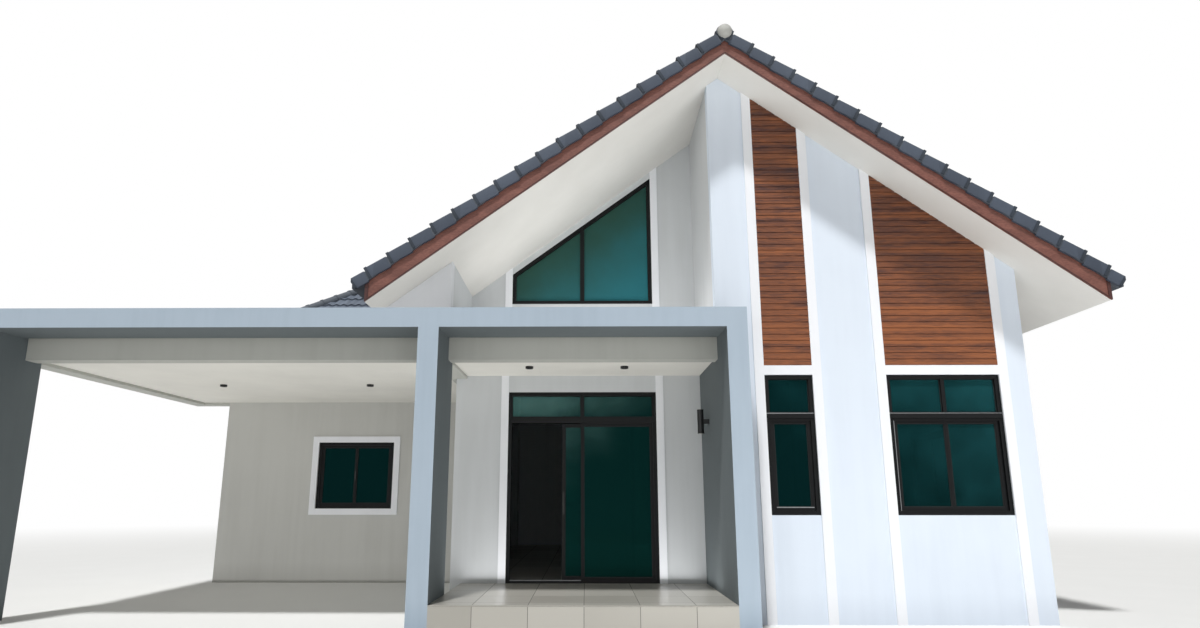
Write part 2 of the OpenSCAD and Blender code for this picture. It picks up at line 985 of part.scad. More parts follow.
module ridge_caps() {
  color("dimgray")
    difference() {
      translate([0, verge_front, cap_z])
        rotate([-90, 0, 0])
          capped_run(-2 * verge_front);
      across(verge_front - cut, -verge_front + cut)
        under_courses(tile_top + seat_gap);
      for (end = [0, 1])
        mirror([0, end, 0])
          across(verge_front - cut, barge_front + verge_w)
            under_courses(tile_top + verge_t + seat_gap);
    }
}

// Domes that close the ends of the ridge
module ridge_end_balls() {
  color("silver")
    for (end = [0, 1])
      mirror([0, end, 0])
        difference() {
          translate([0, verge_front, cap_z + ball_rise])
            sphere(r = ball_r);
          block(-far, far, verge_front, 0, 0, far);
        }
}

// Wing roof, closed by three stepped slopes that meet at the hips

// Stepped line of the courses up from the eave at x0, raised by rise
function wing_slope(x0, rise, lip) = [
  for (i = [0 : wing_courses - 1], e = [0, 1])
    let (along_slope = (i + e) * wing_half / wing_courses)
    [x0 + along_slope, wing_low + rise + slope * along_slope + (1 - e) * lip]
];

// Section across the wing's ridge: a slope up from the front eave and one from the rear
module wing_gable(rise, lip) {
  front = wing_slope(wing_mid - wing_half, rise, lip);
  rear = [for (p = backwards(front)) [2 * wing_mid - p[0], p[1]]];
  polygon(concat([[wing_mid - wing_half, 0]], front, rear, [[wing_mid + wing_half, 0]]));
}

// Section along the wing's ridge: a slope up from the side eave, then level
module wing_hip(rise, lip) {
  side = wing_slope(wing_eave_x - wing_reach, rise, lip);
  polygon(concat([[wing_eave_x - wing_reach, 0]], side, [[0, wing_low + rise + slope * wing_half], [0, 0]]));
}

module wing_envelope(rise, lip) {
  intersection() {
    along(wing_eave_x - wing_reach, 0)
      wing_gable(rise, lip);
    across(wing_mid - wing_half, wing_mid + wing_half)
      wing_hip(rise, lip);
  }
}

module wing_roof() {
  color("dimgray")
    difference() {
      wing_envelope(tile_t, tile_lip);
      wing_envelope(0, 0);
      across(barge_front, barge_rear)
        under_courses(tile_top + seat_gap);
    }
}

module wing_soffit() {
  color("whitesmoke")
    block(wing_eave_x + board_t, -eave_half, wing_eave_front + board_t, wing_eave_rear - board_t,
          wing_soffit_h, wing_soffit_h + soffit_t);
}

// Caps along the wing's ridge and down its two hips, with a ball where they meet
module wing_hip_caps() {
  apex_x = wing_eave_x - wing_reach + wing_half;
  top = wing_low + tile_t - wing_cap_drop + slope * wing_half;
  hip_len = norm([wing_half, wing_half, slope * wing_half]);
  dip = asin(slope * wing_half / hip_len);
  color("dimgray")
    difference() {
      translate([apex_x, wing_mid, top])
        union() {
          rotate([0, 90, 0])
            capped_run(-apex_x);
          for (side = [-1, 1])
            rotate([0, 0, side * 135])
              rotate([0, 90 + dip, 0])
                capped_run(hip_len);
          sphere(r = cap_r + cap_collar);
        }
      wing_envelope(tile_t + tile_lip + seat_gap, 0);
      across(barge_front, barge_rear)
        roof_band(-far, tile_top + tile_lip + seat_gap, tile_half);
    }
}

// Lights

module downlight(x, y) {
  translate([x, y, ceiling_low - downlight_drop])
    difference() {
      cylinder(r = downlight_r, h = downlight_drop);
      translate([0, 0, -cut])
        cylinder(r = downlight_r - downlight_rim, h = downlight_drop / 2 + cut);
    }
}

// A cylinder that shines up and down, held off the bay's side wall by its bracket
module wall_lamp() {
  off = lamp_r + lamp_gap;
  translate([bay_x - off, front_y + lamp_back, lamp_h])
    union() {
      translate([0, 0, -lamp_len / 2])
        cylinder(r = lamp_r, h = lamp_len);
      block(0, off, -lamp_bracket / 2, lamp_bracket / 2, -lamp_bracket / 2, lamp_bracket / 2);
    }
}

module outdoor_lamps() {
  carport_mid = (canopy_x + fin_w + mid_fin_x) / 2;
  color("black") {
    for (side = [-1, 1]) {
      downlight(-porch_light_mid + side * porch_light_gap / 2, front_y + porch_light_back);
      downlight(carport_mid + side * carport_light_gap / 2, front_y + carport_light_back);
    }
    wall_lamp();
  }
}

floor_slab();
porch_floor();
front_bay_wall();
bay_side_wall();
right_wall();
rear_wall();
left_walls();
recess_left_wall();
gable_infill_wall();
entry_side_walls();
entry_wall_over();
clerestory_wall();
wing_front_wall();
wing_left_wall();
wing_rear_wall();
white_bands();
wood_panels();
bay_window_frames();
bay_window_glass();
clerestory_frame();
clerestory_glass();
small_window_frames();
small_window_glass();
small_window_surrounds();
door_frame();
door_fixed_leaf();
door_fixed_glass();
sliding_leaf();
sliding_glass();
canopy_frame();
canopy_beams();
canopy_slab();
canopy_ceilings();
main_roof_left();
main_roof_right();
main_soffit();
bargeboards();
verge_tiles();
eave_fascias();
ridge_caps();
ridge_end_balls();
wing_roof();
wing_soffit();
wing_hip_caps();
outdoor_lamps();
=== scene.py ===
"""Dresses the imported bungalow: its tiles, cladding, glazing, door furniture, lamps and finishes.

Sizes are in metres, apart from those of patterns, whose names end in mm. A fitting takes its
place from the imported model's own boxes, so it sits where the solid that carries it sits. X runs
to the right, Y to the rear, Z up.
"""

import logging
import math
from collections.abc import Callable, Iterable
from dataclasses import dataclass
from enum import Enum

import bpy
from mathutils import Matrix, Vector


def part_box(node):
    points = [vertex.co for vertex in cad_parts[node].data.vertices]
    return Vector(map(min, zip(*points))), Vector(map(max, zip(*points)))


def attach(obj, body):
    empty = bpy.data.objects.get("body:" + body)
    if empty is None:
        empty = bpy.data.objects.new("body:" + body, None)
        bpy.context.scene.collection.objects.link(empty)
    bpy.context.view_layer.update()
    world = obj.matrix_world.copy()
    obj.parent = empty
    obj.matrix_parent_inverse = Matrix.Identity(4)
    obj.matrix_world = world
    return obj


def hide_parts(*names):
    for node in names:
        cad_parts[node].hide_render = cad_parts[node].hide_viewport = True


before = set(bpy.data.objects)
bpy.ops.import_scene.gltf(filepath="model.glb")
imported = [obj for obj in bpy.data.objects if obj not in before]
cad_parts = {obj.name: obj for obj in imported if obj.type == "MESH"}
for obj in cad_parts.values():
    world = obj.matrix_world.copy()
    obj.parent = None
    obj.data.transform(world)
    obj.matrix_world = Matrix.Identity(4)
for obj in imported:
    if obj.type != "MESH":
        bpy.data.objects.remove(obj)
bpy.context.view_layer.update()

log = logging.getLogger("bungalow")

Piece = bpy.types.Object
Place = tuple[float, float, float]
Plane = tuple[Place, Place]
Outline = tuple[float, float, float, float]
Range = tuple[float, float]
Test = Callable[[Vector, Vector], bool]
Value = float | str | Place | bpy.types.Node | bpy.types.NodeSocket
Inputs = dict[str, Value] | tuple[Value, ...]

# The main roof's slope and the widths of the bay's two windows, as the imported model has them
PITCH = math.radians(36.4)
NARROW_W = 0.588
WIDE_W = 1.375
# How far a selection's limit keeps off the face that it is meant for
SLACK = 0.001
# Share of a direction past which it counts as along an axis
ALONG = 0.9
WHITE = "#FFFFFF"


class Body(Enum):
    """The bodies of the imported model."""

    HOUSE = "house"
    LEAF = "door_leaf"


class Slot(Enum):
    """Names of material slots."""

    FLOOR = "floor_tile"
    TIMBER = "timber"
    BARGE = "barge_timber"
    FRAME = "black_frame"
    TILE = "roof_tile"
    LAMP = "black_lamp"


class Pick(Enum):
    """What a selection takes."""

    VERTS = (True, False, False)
    EDGES = (False, True, False)
    FACES = (False, False, True)


def linear(code: str) -> tuple[float, float, float, float]:
    """Turns an sRGB hex colour to linear light.

    Args:
        code: The colour as a hash and six hex digits.

    Returns:
        Red, green, blue and an alpha of one.
    """
    parts = [int(code[i : i + 2], 16) / 255 for i in (1, 3, 5)]
    red, green, blue = (c / 12.92 if c <= 0.04045 else ((c + 0.055) / 1.055) ** 2.4 for c in parts)
    return red, green, blue, 1.0


def per(size_mm: float) -> float:
    """Texture scale at which one feature is size_mm across."""
    return 1000.0 / size_mm


class Graph:
    """The node tree of one material or world."""

    def __init__(self, tree: bpy.types.NodeTree) -> None:
        """Takes a node tree, with its Principled shader where it has one."""
        self.tree = tree
        self.shader = tree.nodes.get("Principled BSDF")

    def add(self, kind: str, inputs: Inputs = (), **settings: object) -> bpy.types.Node:
        """Adds a node with its settings and links.

        Args:
            kind: The node's type.
            inputs: Its inputs, as feed takes them.
            settings: Properties of the node.

        Returns:
            The new node.
        """
        node = self.tree.nodes.new(kind)
        for key, value in settings.items():
            setattr(node, key, value)
        self.feed(node, inputs)
        return node

    def feed(self, node: bpy.types.Node, inputs: Inputs) -> None:
        """Sets or links inputs of a node.

        Args:
            node: The node that receives them.
            inputs: Numbers, hex colours, output sockets, or nodes that give their first output
                in use. They go by input name, or in order to the inputs that are in use, such
                as a noise's coordinates, scale and detail.
        """
        if isinstance(inputs, dict):
            pairs = [(node.inputs[name], value) for name, value in inputs.items()]
        else:
            pairs = list(zip([socket for socket in node.inputs if socket.enabled], inputs))
        for socket, value in pairs:
            if isinstance(value, bpy.types.Node):
                value = next(output for output in value.outputs if output.enabled)
            if isinstance(value, bpy.types.NodeSocket):
                self.tree.links.new(value, socket)
            else:
                socket.default_value = linear(value) if isinstance(value, str) else value

    def coords(self, scale: Place = (1.0, 1.0, 1.0)) -> bpy.types.Node:
        """Object coordinates, stretched by scale."""
        place = self.add("ShaderNodeTexCoord").outputs["Object"]
        return self.add("ShaderNodeMapping", {"Vector": place, "Scale": scale})


@dataclass(frozen=True)
class Finish:
    """A surface finish, named for the real material."""

    name: str

    def dress(self, graph: Graph) -> None:
        """Builds the nodes of the finish in a graph."""
        raise NotImplementedError

    def material(self) -> bpy.types.Material:
        """Finds the finish's material, or makes it on its first use.

        Returns:
            The material.
        """
        known = bpy.data.materials.get(self.name)
        if known:
            return known
        made = bpy.data.materials.new(self.name)
        made.use_nodes = True
        self.dress(Graph(made.node_tree))
        return made


class Zone(Enum):
    """Which faces of a painted piece take its second colour, a darker grey that is partly a darker paint and
    partly painted shade.
    """

    NONE = 0
    LEFT_BELOW = 1
    NOT_FRONT = 2


@dataclass(frozen=True)
class PaintedPlaster(Finish):
    """Sand and cement render, floated by hand and painted with matt acrylic.

    The eye sees a faint sandy grain, slow clouds of tone and thin rain marks that run down.
    """

    colour: str
    mark: str
    # Darker grey for faces turned from the front: partly a darker paint, partly painted shade
    second_paint_and_shade: str = "#656D70"
    zone: Zone = Zone.NONE
    # Height under which the second colour shows on faces to the left
    limit: float = 3.4
    # Least part of the normal's X or Y at which a face counts as a left or a front one
    facing: float = 0.5
    cloud_mm: float = 1100.0
    streak_mm: float = 130.0
    streak_run: Place = (1.0, 1.0, 0.07)
    # Drawn coarser than the real 1 mm sand so that it still shows
    grain_mm: float = 9.0
    marked: Range = (0.2, 0.42)
    marks: float = 0.09
    dirt_height: float = 0.35
    dirt: float = 0.25
    roughness: float = 0.82
    ior: float = 1.45

    def paint(self, graph: Graph) -> str | bpy.types.Node:
        """The paint's colour before any marks, by zone.

        Args:
            graph: The material's nodes.

        Returns:
            A hex colour, or the node that mixes the two.
        """
        # The second colour, by face direction and height, is partly paint and partly painted shade
        if self.zone is Zone.NONE:
            return self.colour
        texture = graph.add("ShaderNodeTexCoord").outputs
        normal = graph.add("ShaderNodeSeparateXYZ", (texture["Normal"],)).outputs
        place = graph.add("ShaderNodeSeparateXYZ", (texture["Object"],)).outputs
        if self.zone is Zone.LEFT_BELOW:
            side = graph.add("ShaderNodeMath", (normal["X"], -self.facing), operation="LESS_THAN")
            low = graph.add("ShaderNodeMath", (place["Z"], self.limit), operation="LESS_THAN")
            share = graph.add("ShaderNodeMath", (side, low), operation="MULTIPLY")
        else:
            share = graph.add("ShaderNodeMath", (normal["Y"], -self.facing), operation="GREATER_THAN")
        return graph.add("ShaderNodeMix", (share, self.colour, self.second_paint_and_shade), data_type="RGBA")

    def dress(self, graph: Graph) -> None:
        """Paint, clouds, rain marks, ground dirt and sandy grain.

        Args:
            graph: The material's nodes.
        """
        cloud = graph.add("ShaderNodeTexNoise", (graph.coords(), per(self.cloud_mm), 3.0))
        streak = graph.add("ShaderNodeTexNoise", (graph.coords(self.streak_run), per(self.streak_mm), 4.0))
        both = graph.add("ShaderNodeMath", (cloud, streak), operation="MULTIPLY")
        share = graph.add("ShaderNodeMapRange", (both, *self.marked, 0.0, self.marks))
        height = graph.add("ShaderNodeSeparateXYZ", (graph.coords(),)).outputs["Z"]
        splash = graph.add("ShaderNodeMapRange", (height, self.dirt_height, 0.0, 0.0, self.dirt))
        marks = graph.add("ShaderNodeMath", (share, splash), operation="ADD", use_clamp=True)
        coats = (marks, self.paint(graph), self.mark)
        mix = graph.add("ShaderNodeMix", coats, data_type="RGBA", blend_type="MULTIPLY")
        grain = graph.add("ShaderNodeTexNoise", (graph.coords(), per(self.grain_mm), 5.0))
        bump = graph.add("ShaderNodeBump", {"Height": grain, "Strength": 0.25, "Distance": 0.0012})
        graph.feed(
            graph.shader, {"Base Color": mix, "Roughness": self.roughness, "IOR": self.ior, "Normal": bump}
        )


@dataclass(frozen=True)
class ConcreteTile(Finish):
    """Through-coloured concrete tile with an acrylic coat.

    The eye sees slate grey that shifts a little from tile to tile, with pale dusty specks.
    """

    colour: str = "#424A54"
    pale: str = "#59616A"
    # Size of one tile along X, Y and Z, where it keeps one tone
    cell: Place = (0.2522, 0.3, 50.0)
    cloud_mm: float = 700.0
    speckle_mm: float = 14.0
    tile_share: float = 0.45
    speckle_share: float = 0.5
    paling: Range = (0.55, 1.35)
    roughness: Range = (0.5, 0.72)
    ior: float = 1.5

    def dress(self, graph: Graph) -> None:
        """A tone for each tile, weather clouds and a gritty speckle.

        Args:
            graph: The material's nodes.
        """
        snap = graph.add("ShaderNodeVectorMath", (graph.coords(), self.cell), operation="SNAP")
        tone = graph.add("ShaderNodeTexWhiteNoise", (snap,))
        cloud = graph.add("ShaderNodeTexNoise", (graph.coords(), per(self.cloud_mm), 4.0))
        speckle = graph.add("ShaderNodeTexNoise", (graph.coords(), per(self.speckle_mm), 3.0))
        tones = graph.add("ShaderNodeMath", (tone, self.tile_share, cloud), operation="MULTIPLY_ADD")
        share = graph.add("ShaderNodeMath", (speckle, self.speckle_share, tones), operation="MULTIPLY_ADD")
        level = graph.add("ShaderNodeMapRange", (share, *self.paling))
        mix = graph.add("ShaderNodeMix", (level, self.colour, self.pale), data_type="RGBA")
        rough = graph.add("ShaderNodeMapRange", (speckle, 0.0, 1.0, *self.roughness))
        bump = graph.add("ShaderNodeBump", {"Height": speckle, "Strength": 0.3, "Distance": 0.001})
        graph.feed(graph.shader, {"Base Color": mix, "Roughness": rough, "IOR": self.ior, "Normal": bump})


@dataclass(frozen=True)
class StainedTimber(Finish):
    """Planed hardwood boards with a semi-gloss stain.

    The eye sees fine streaks along each board and a change of tone from board to board.
    """

    deep: str
    lit: str
    grain: Place = (0.06, 1.0, 1.0)
    board: Place = (50.0, 50.0, 0.078)
    streak_mm: float = 7.0
    patch_mm: float = 160.0
    patch_run: Place = (0.3, 1.0, 1.6)
    board_share: float = 0.35
    patch_share: float = 0.6
    staining: Range = (0.7, 1.3)
    # Direction along which the boards grow paler, where that starts and ends, and its share; the darker
    # top is partly less weathered timber and partly painted shade under the eaves
    bleach_and_shade: Place = (0.0, 0.0, 0.0)
    bleach_and_shade_run: Range = (0.0, 1.0)
    bleach_and_shade_by: float = 0.0
    roughness: Range = (0.36, 0.55)
    ior: float = 1.5

    def dress(self, graph: Graph) -> None:
        """Streaks along the grain, a tone for each board and a light sheen.

        Args:
            graph: The material's nodes.
        """
        fine = {"Vector": graph.coords(self.grain), "Scale": per(self.streak_mm), "Detail": 6.0}
        streak = graph.add("ShaderNodeTexNoise", {**fine, "Distortion": 0.4})
        snap = graph.add("ShaderNodeVectorMath", (graph.coords(), self.board), operation="SNAP")
        tone = graph.add("ShaderNodeTexWhiteNoise", (snap,))
        patch = graph.add("ShaderNodeTexNoise", (graph.coords(self.patch_run), per(self.patch_mm)))
        share = graph.add("ShaderNodeMath", (tone, self.board_share, streak), operation="MULTIPLY_ADD")
        share = graph.add("ShaderNodeMath", (patch, self.patch_share, share), operation="MULTIPLY_ADD")
        # Paler along the given direction: partly weathering, partly painted shade under the eaves
        place = graph.add("ShaderNodeVectorMath", (graph.coords(), self.bleach_and_shade), operation="DOT_PRODUCT")
        half = self.bleach_and_shade_by / 2
        bleach_and_shade = graph.add("ShaderNodeMapRange", (place, *self.bleach_and_shade_run, -half, half))
        share = graph.add("ShaderNodeMath", (share, bleach_and_shade), operation="ADD")
        level = graph.add("ShaderNodeMapRange", (share, *self.staining))
        mix = graph.add("ShaderNodeMix", (level, self.deep, self.lit), data_type="RGBA")
        rough = graph.add("ShaderNodeMapRange", (streak, 0.0, 1.0, *self.roughness))
        bump = graph.add("ShaderNodeBump", {"Height": streak, "Strength": 0.3, "Distance": 0.0008})
        graph.feed(graph.shader, {"Base Color": mix, "Roughness": rough, "IOR": self.ior, "Normal": bump})


@dataclass(frozen=True)
class PowderCoat(Finish):
    """Powder-coated aluminium section, baked satin black.

    The eye sees a soft highlight, broken by a faint orange peel and a film of dust.
    """

    colour: str = "#070809"
    dust: str = "#101214"
    dust_mm: float = 260.0
    # Real orange peel is about 2 mm across, too fine to show from the road
    peel_mm: float = 8.0
    roughness: Range = (0.3, 0.48)
    ior: float = 1.3

    def dress(self, graph: Graph) -> None:
        """Satin black with dust clouds and orange peel.

        Args:
            graph: The material's nodes.
        """
        cloud = graph.add("ShaderNodeTexNoise", (graph.coords(), per(self.dust_mm), 4.0))
        mix = graph.add("ShaderNodeMix", (cloud, self.colour, self.dust), data_type="RGBA")
        rough = graph.add("ShaderNodeMapRange", (cloud, 0.0, 1.0, *self.roughness))
        peel = graph.add("ShaderNodeTexNoise", (graph.coords(), per(self.peel_mm)))
        bump = graph.add("ShaderNodeBump", {"Height": peel, "Strength": 0.12, "Distance": 0.0004})
        graph.feed(graph.shader, {"Base Color": mix, "Roughness": rough, "IOR": self.ior, "Normal": bump})


@dataclass(frozen=True)
class TintedGlass(Finish):
    """Float glass tinted green in the melt, with a thin solar coat.

    The eye sees a deep green pane with slow waves from the rollers; its drift to teal across the
    panes is a painted reflection. The coat tints what the pane reflects, and the dark rooms
    behind it deepen the colour.
    """

    deep: str
    teal: str
    coat: str = "#2E8C8C"
    clear: float = 0.8
    # Direction of the drift, which is a painted reflection, where its middle lies along it, how far it
    # reaches to each side of that, and how far its edge wanders
    turn: Place = (0.35, 1.0, -0.8)
    centre: float = 0.0
    reach: float = 1.0
    wander: float = 1.1
    wander_mm: float = 420.0
    wave_mm: float = 350.0
    roughness: float = 0.02
    ior: float = 1.52

    def dress(self, graph: Graph) -> None:
        """A drift of tint across the panes as a painted reflection, a tinted reflection and a roller wave.

        Args:
            graph: The material's nodes.
        """
        # The drift from deep green to teal is a painted reflection
        drift = graph.add("ShaderNodeVectorMath", (graph.coords(), self.turn), operation="DOT_PRODUCT")
        wander = graph.add("ShaderNodeTexNoise", (graph.coords(), per(self.wander_mm), 3.0))
        place = graph.add("ShaderNodeMath", (wander, self.wander, drift), operation="MULTIPLY_ADD")
        ends = (self.centre - self.reach, self.centre + self.reach)
        share = graph.add("ShaderNodeMapRange", (place, *ends), interpolation_type="SMOOTHSTEP")
        mix = graph.add("ShaderNodeMix", (share, self.deep, self.teal), data_type="RGBA")
        wave = graph.add("ShaderNodeTexNoise", (graph.coords(), per(self.wave_mm)))
        bump = graph.add("ShaderNodeBump", {"Height": wave, "Strength": 0.08, "Distance": 0.002})
        graph.feed(
            graph.shader,
            {
                "Base Color": mix,
                "Roughness": self.roughness,
                "IOR": self.ior,
                "Specular Tint": self.coat,
                "Transmission Weight": self.clear,
                "Normal": bump,
            },
        )


@dataclass(frozen=True)
class PaintedBoard(Finish):
    """Fibre-cement board with filled joints and flat white emulsion.

    The eye sees an even, chalky white with very faint clouds and a thin line at each joint.
    """

    colour: str = "#ECEAE5"
    shade: str = "#D8D6D0"
    cloud_mm: float = 900.0
    clouding: Range = (0.35, 0.75)
    cloud_share: float = 0.45
    joint: Place = (1.2, 2.4, 50.0)
    joint_mm: float = 5.0
    joint_share: float = 0.4
    grain_mm: float = 6.0
    roughness: float = 0.88
    ior: float = 1.45

    def dress(self, graph: Graph) -> None:
        """Clouds of tone, and lines where the boards meet.

        Args:
            graph: The material's nodes.
        """
        cloud = graph.add("ShaderNodeTexNoise", (graph.coords(), per(self.cloud_mm), 4.0))
        share = graph.add("ShaderNodeMapRange", (cloud, *self.clouding, 0.0, self.cloud_share))
        rest = graph.add("ShaderNodeVectorMath", (graph.coords(), self.joint), operation="MODULO")
        place = graph.add("ShaderNodeVectorMath", (rest,), operation="ABSOLUTE")
        parts = graph.add("ShaderNodeSeparateXYZ", (place,)).outputs
        near = graph.add("ShaderNodeMath", (parts["X"], parts["Y"]), operation="MINIMUM")
        line = graph.add("ShaderNodeMath", (near, self.joint_mm / 1000), operation="LESS_THAN")
        faint = graph.add("ShaderNodeMath", (line, self.joint_share), operation="MULTIPLY")
        both = graph.add("ShaderNodeMath", (share, faint), operation="MAXIMUM")
        mix = graph.add("ShaderNodeMix", (both, self.colour, self.shade), data_type="RGBA")
        grain = graph.add("ShaderNodeTexNoise", (graph.coords(), per(self.grain_mm), 3.0))
        bump = graph.add("ShaderNodeBump", {"Height": grain, "Strength": 0.1, "Distance": 0.0006})
        graph.feed(
            graph.shader, {"Base Color": mix, "Roughness": self.roughness, "IOR": self.ior, "Normal": bump}
        )


@dataclass(frozen=True)
class FairConcrete(Finish):
    """Cast concrete, struck from plywood and left to weather.

    The eye sees mottled grey with pin holes and damp patches.
    """

    colour: str = "#9A9B97"
    damp: str = "#6E706C"
    patch_mm: float = 480.0
    damping: Range = (0.4, 0.75)
    hole_mm: float = 45.0
    hole_reach: float = 0.12
    roughness: float = 0.85
    ior: float = 1.5

    def dress(self, graph: Graph) -> None:
        """Mottles and pin holes.

        Args:
            graph: The material's nodes.
        """
        cloud = graph.add("ShaderNodeTexNoise", (graph.coords(), per(self.patch_mm), 6.0))
        share = graph.add("ShaderNodeMapRange", (cloud, *self.damping))
        mix = graph.add("ShaderNodeMix", (share, self.colour, self.damp), data_type="RGBA")
        holes = graph.add("ShaderNodeTexVoronoi", (graph.coords(), per(self.hole_mm)))
        pit = graph.add("ShaderNodeMapRange", (holes, 0.0, self.hole_reach))
        bump = graph.add("ShaderNodeBump", {"Height": pit, "Strength": 0.4, "Distance": 0.002})
        graph.feed(
            graph.shader, {"Base Color": mix, "Roughness": self.roughness, "IOR": self.ior, "Normal": bump}
        )


@dataclass(frozen=True)
class FloorTile(Finish):
    """Glazed porcelain floor tiles, 600 mm square, on thin grey grout.

    The eye sees a clean grid, a slight change of tone from tile to tile and a soft gloss.
    """

    colour: str = "#B9B6AE"
    warm: str = "#A5A29A"
    grout: str = "#6F6D68"
    size: float = 0.6
    # Real grout is 3 mm wide, drawn wider so that it shows
    grout_mm: float = 7.0
    roughness: Range = (0.28, 0.85)
    ior: float = 1.5

    def dress(self, graph: Graph) -> None:
        """Tiles and grout on the level faces.

        Args:
            graph: The material's nodes.
        """
        cell: Place = (self.size, self.size, self.size)
        snap = graph.add("ShaderNodeVectorMath", (graph.coords(), cell), operation="SNAP")
        tone = graph.add("ShaderNodeTexWhiteNoise", (snap,))
        body = graph.add("ShaderNodeMix", (tone, self.colour, self.warm), data_type="RGBA")
        rest = graph.add("ShaderNodeVectorMath", (graph.coords(), snap), operation="SUBTRACT")
        parts = graph.add("ShaderNodeSeparateXYZ", (rest,)).outputs
        near = graph.add("ShaderNodeMath", (parts["X"], parts["Y"]), operation="MINIMUM")
        line = graph.add("ShaderNodeMath", (near, self.grout_mm / 1000), operation="LESS_THAN")
        mix = graph.add("ShaderNodeMix", (line, body, self.grout), data_type="RGBA")
        rough = graph.add("ShaderNodeMapRange", (line, 0.0, 1.0, *self.roughness))
        sunk = {"Height": line, "Strength": 0.5, "Distance": 0.001}
        bump = graph.add("ShaderNodeBump", sunk, invert=True)
        graph.feed(graph.shader, {"Base Color": mix, "Roughness": rough, "IOR": self.ior, "Normal": bump})


@dataclass(frozen=True)
class Plain(Finish):
    """A small fitting's finish: moulded, cast or extruded, with a faint mottle."""

    colour: str
    mottle: str
    roughness: float
    ior: float = 1.5
    metallic: float = 0.0
    transmission: float = 0.0
    mottle_mm: float = 60.0
    grain_mm: float = 3.0

    def dress(self, graph: Graph) -> None:
        """A two-tone mottle and a fine grain.

        Args:
            graph: The material's nodes.
        """
        cloud = graph.add("ShaderNodeTexNoise", (graph.coords(), per(self.mottle_mm), 4.0))
        mix = graph.add("ShaderNodeMix", (cloud, self.colour, self.mottle), data_type="RGBA")
        grain = graph.add("ShaderNodeTexNoise", (graph.coords(), per(self.grain_mm)))
        bump = graph.add("ShaderNodeBump", {"Height": grain, "Strength": 0.1, "Distance": 0.0003})
        graph.feed(
            graph.shader,
            {
                "Base Color": mix,
                "Roughness": self.roughness,
                "IOR": self.ior,
                "Metallic": self.metallic,
                "Transmission Weight": self.transmission,
                "Normal": bump,
            },
        )


# Blue-white: partly the white paint and partly painted blue skylight. Left faces in the porch take the
# darker grey, partly paint, partly painted shade
BAY_PAINT_AND_SKYLIGHT = PaintedPlaster("bay_acrylic_paint_and_painted_skylight", "#DDE6F1", "#BFC2C8", zone=Zone.LEFT_BELOW)
# A greyer copy of the white wall paint for the bay's side wall: painted shade. Below the canopy its left
# faces take the darker grey
SIDE_SHADED_PAINT = PaintedPlaster("bay_side_acrylic_paint_painted_shade", "#D0D2D4", "#B4B6B4", zone=Zone.LEFT_BELOW)
WALL_PAINT = PaintedPlaster("wall_acrylic_paint", "#E2E4E8", "#B9BBBC")
# A darker copy of the white wall paint for the walls in the porch and the recess: painted shade
SHADED_PAINT = PaintedPlaster("porch_acrylic_paint_painted_shade", "#CED1D3", "#A9AAA4")
# A greyer copy of the white wall paint for the wall at the back of the carport, under its roof: painted
# shade
WING_SHADED_PAINT = PaintedPlaster("wing_acrylic_paint_painted_shade", "#C8C8C4", "#A5A39C")
BAND_PAINT = PaintedPlaster("band_gloss_paint", "#F0F2F6", "#C9CACC")
# A grey copy of the white paint for the beams under the canopy: painted shade
BEAM_SHADED_PAINT = PaintedPlaster("beam_acrylic_paint_painted_shade", "#BBBCB6", "#A0A19A")
# Every face but the front takes the darker grey: partly a darker paint, partly painted shade
CANOPY_PAINT = PaintedPlaster(
    "canopy_acrylic_paint", "#A7B5C2", "#9AA8B2", zone=Zone.NOT_FRONT, streak_mm=90.0
)
ROOF_TILE = ConcreteTile("concrete_roof_tile")
# A paler copy of the main roof's tile for the wing's roof: painted light
WING_TILE_PAINTED_LIGHT = ConcreteTile("concrete_roof_tile_wing_painted_light", "#4C5563", "#687280", cell=(0.3, 0.2532, 50.0))
CAP_TILE = ConcreteTile("concrete_ridge_tile", "#3B424B", "#565D66", cell=(0.33, 0.33, 50.0))
VERGE_TILE = ConcreteTile("concrete_verge_tile", "#343C49", "#4A5361", cell=(0.2522, 50.0, 50.0))
COLLAR_TILE = ConcreteTile("concrete_verge_collar", "#1B232D", "#28323E", cell=(0.2522, 50.0, 50.0))
# Darker towards the top, under the eaves: partly less weathered timber and partly painted shade of the
# overhang
CLADDING = StainedTimber(
    "stained_hardwood_cladding",
    "#3C1F1B",
    "#91552F",
    bleach_and_shade=(0.0, 0.0, -1.0),
    bleach_and_shade_run=(-6.4, -3.2),
    bleach_and_shade_by=0.2,
)
BARGE = StainedTimber(
    "stained_hardwood_barge", "#5E372E", "#8E5C50", grain=(0.2, 1.0, 1.0), board=(9.0, 9.0, 9.0)
)
# Dark stain for the barge fillets and end strips: painted shade at the board's lower edge and at its end
BARGE_PAINTED_SHADE = StainedTimber(
    "stained_hardwood_painted_shade", "#351815", "#51261F", grain=(0.2, 1.0, 1.0), board=(9.0, 9.0, 9.0)
)
ALUMINIUM = PowderCoat("powder_coated_aluminium")
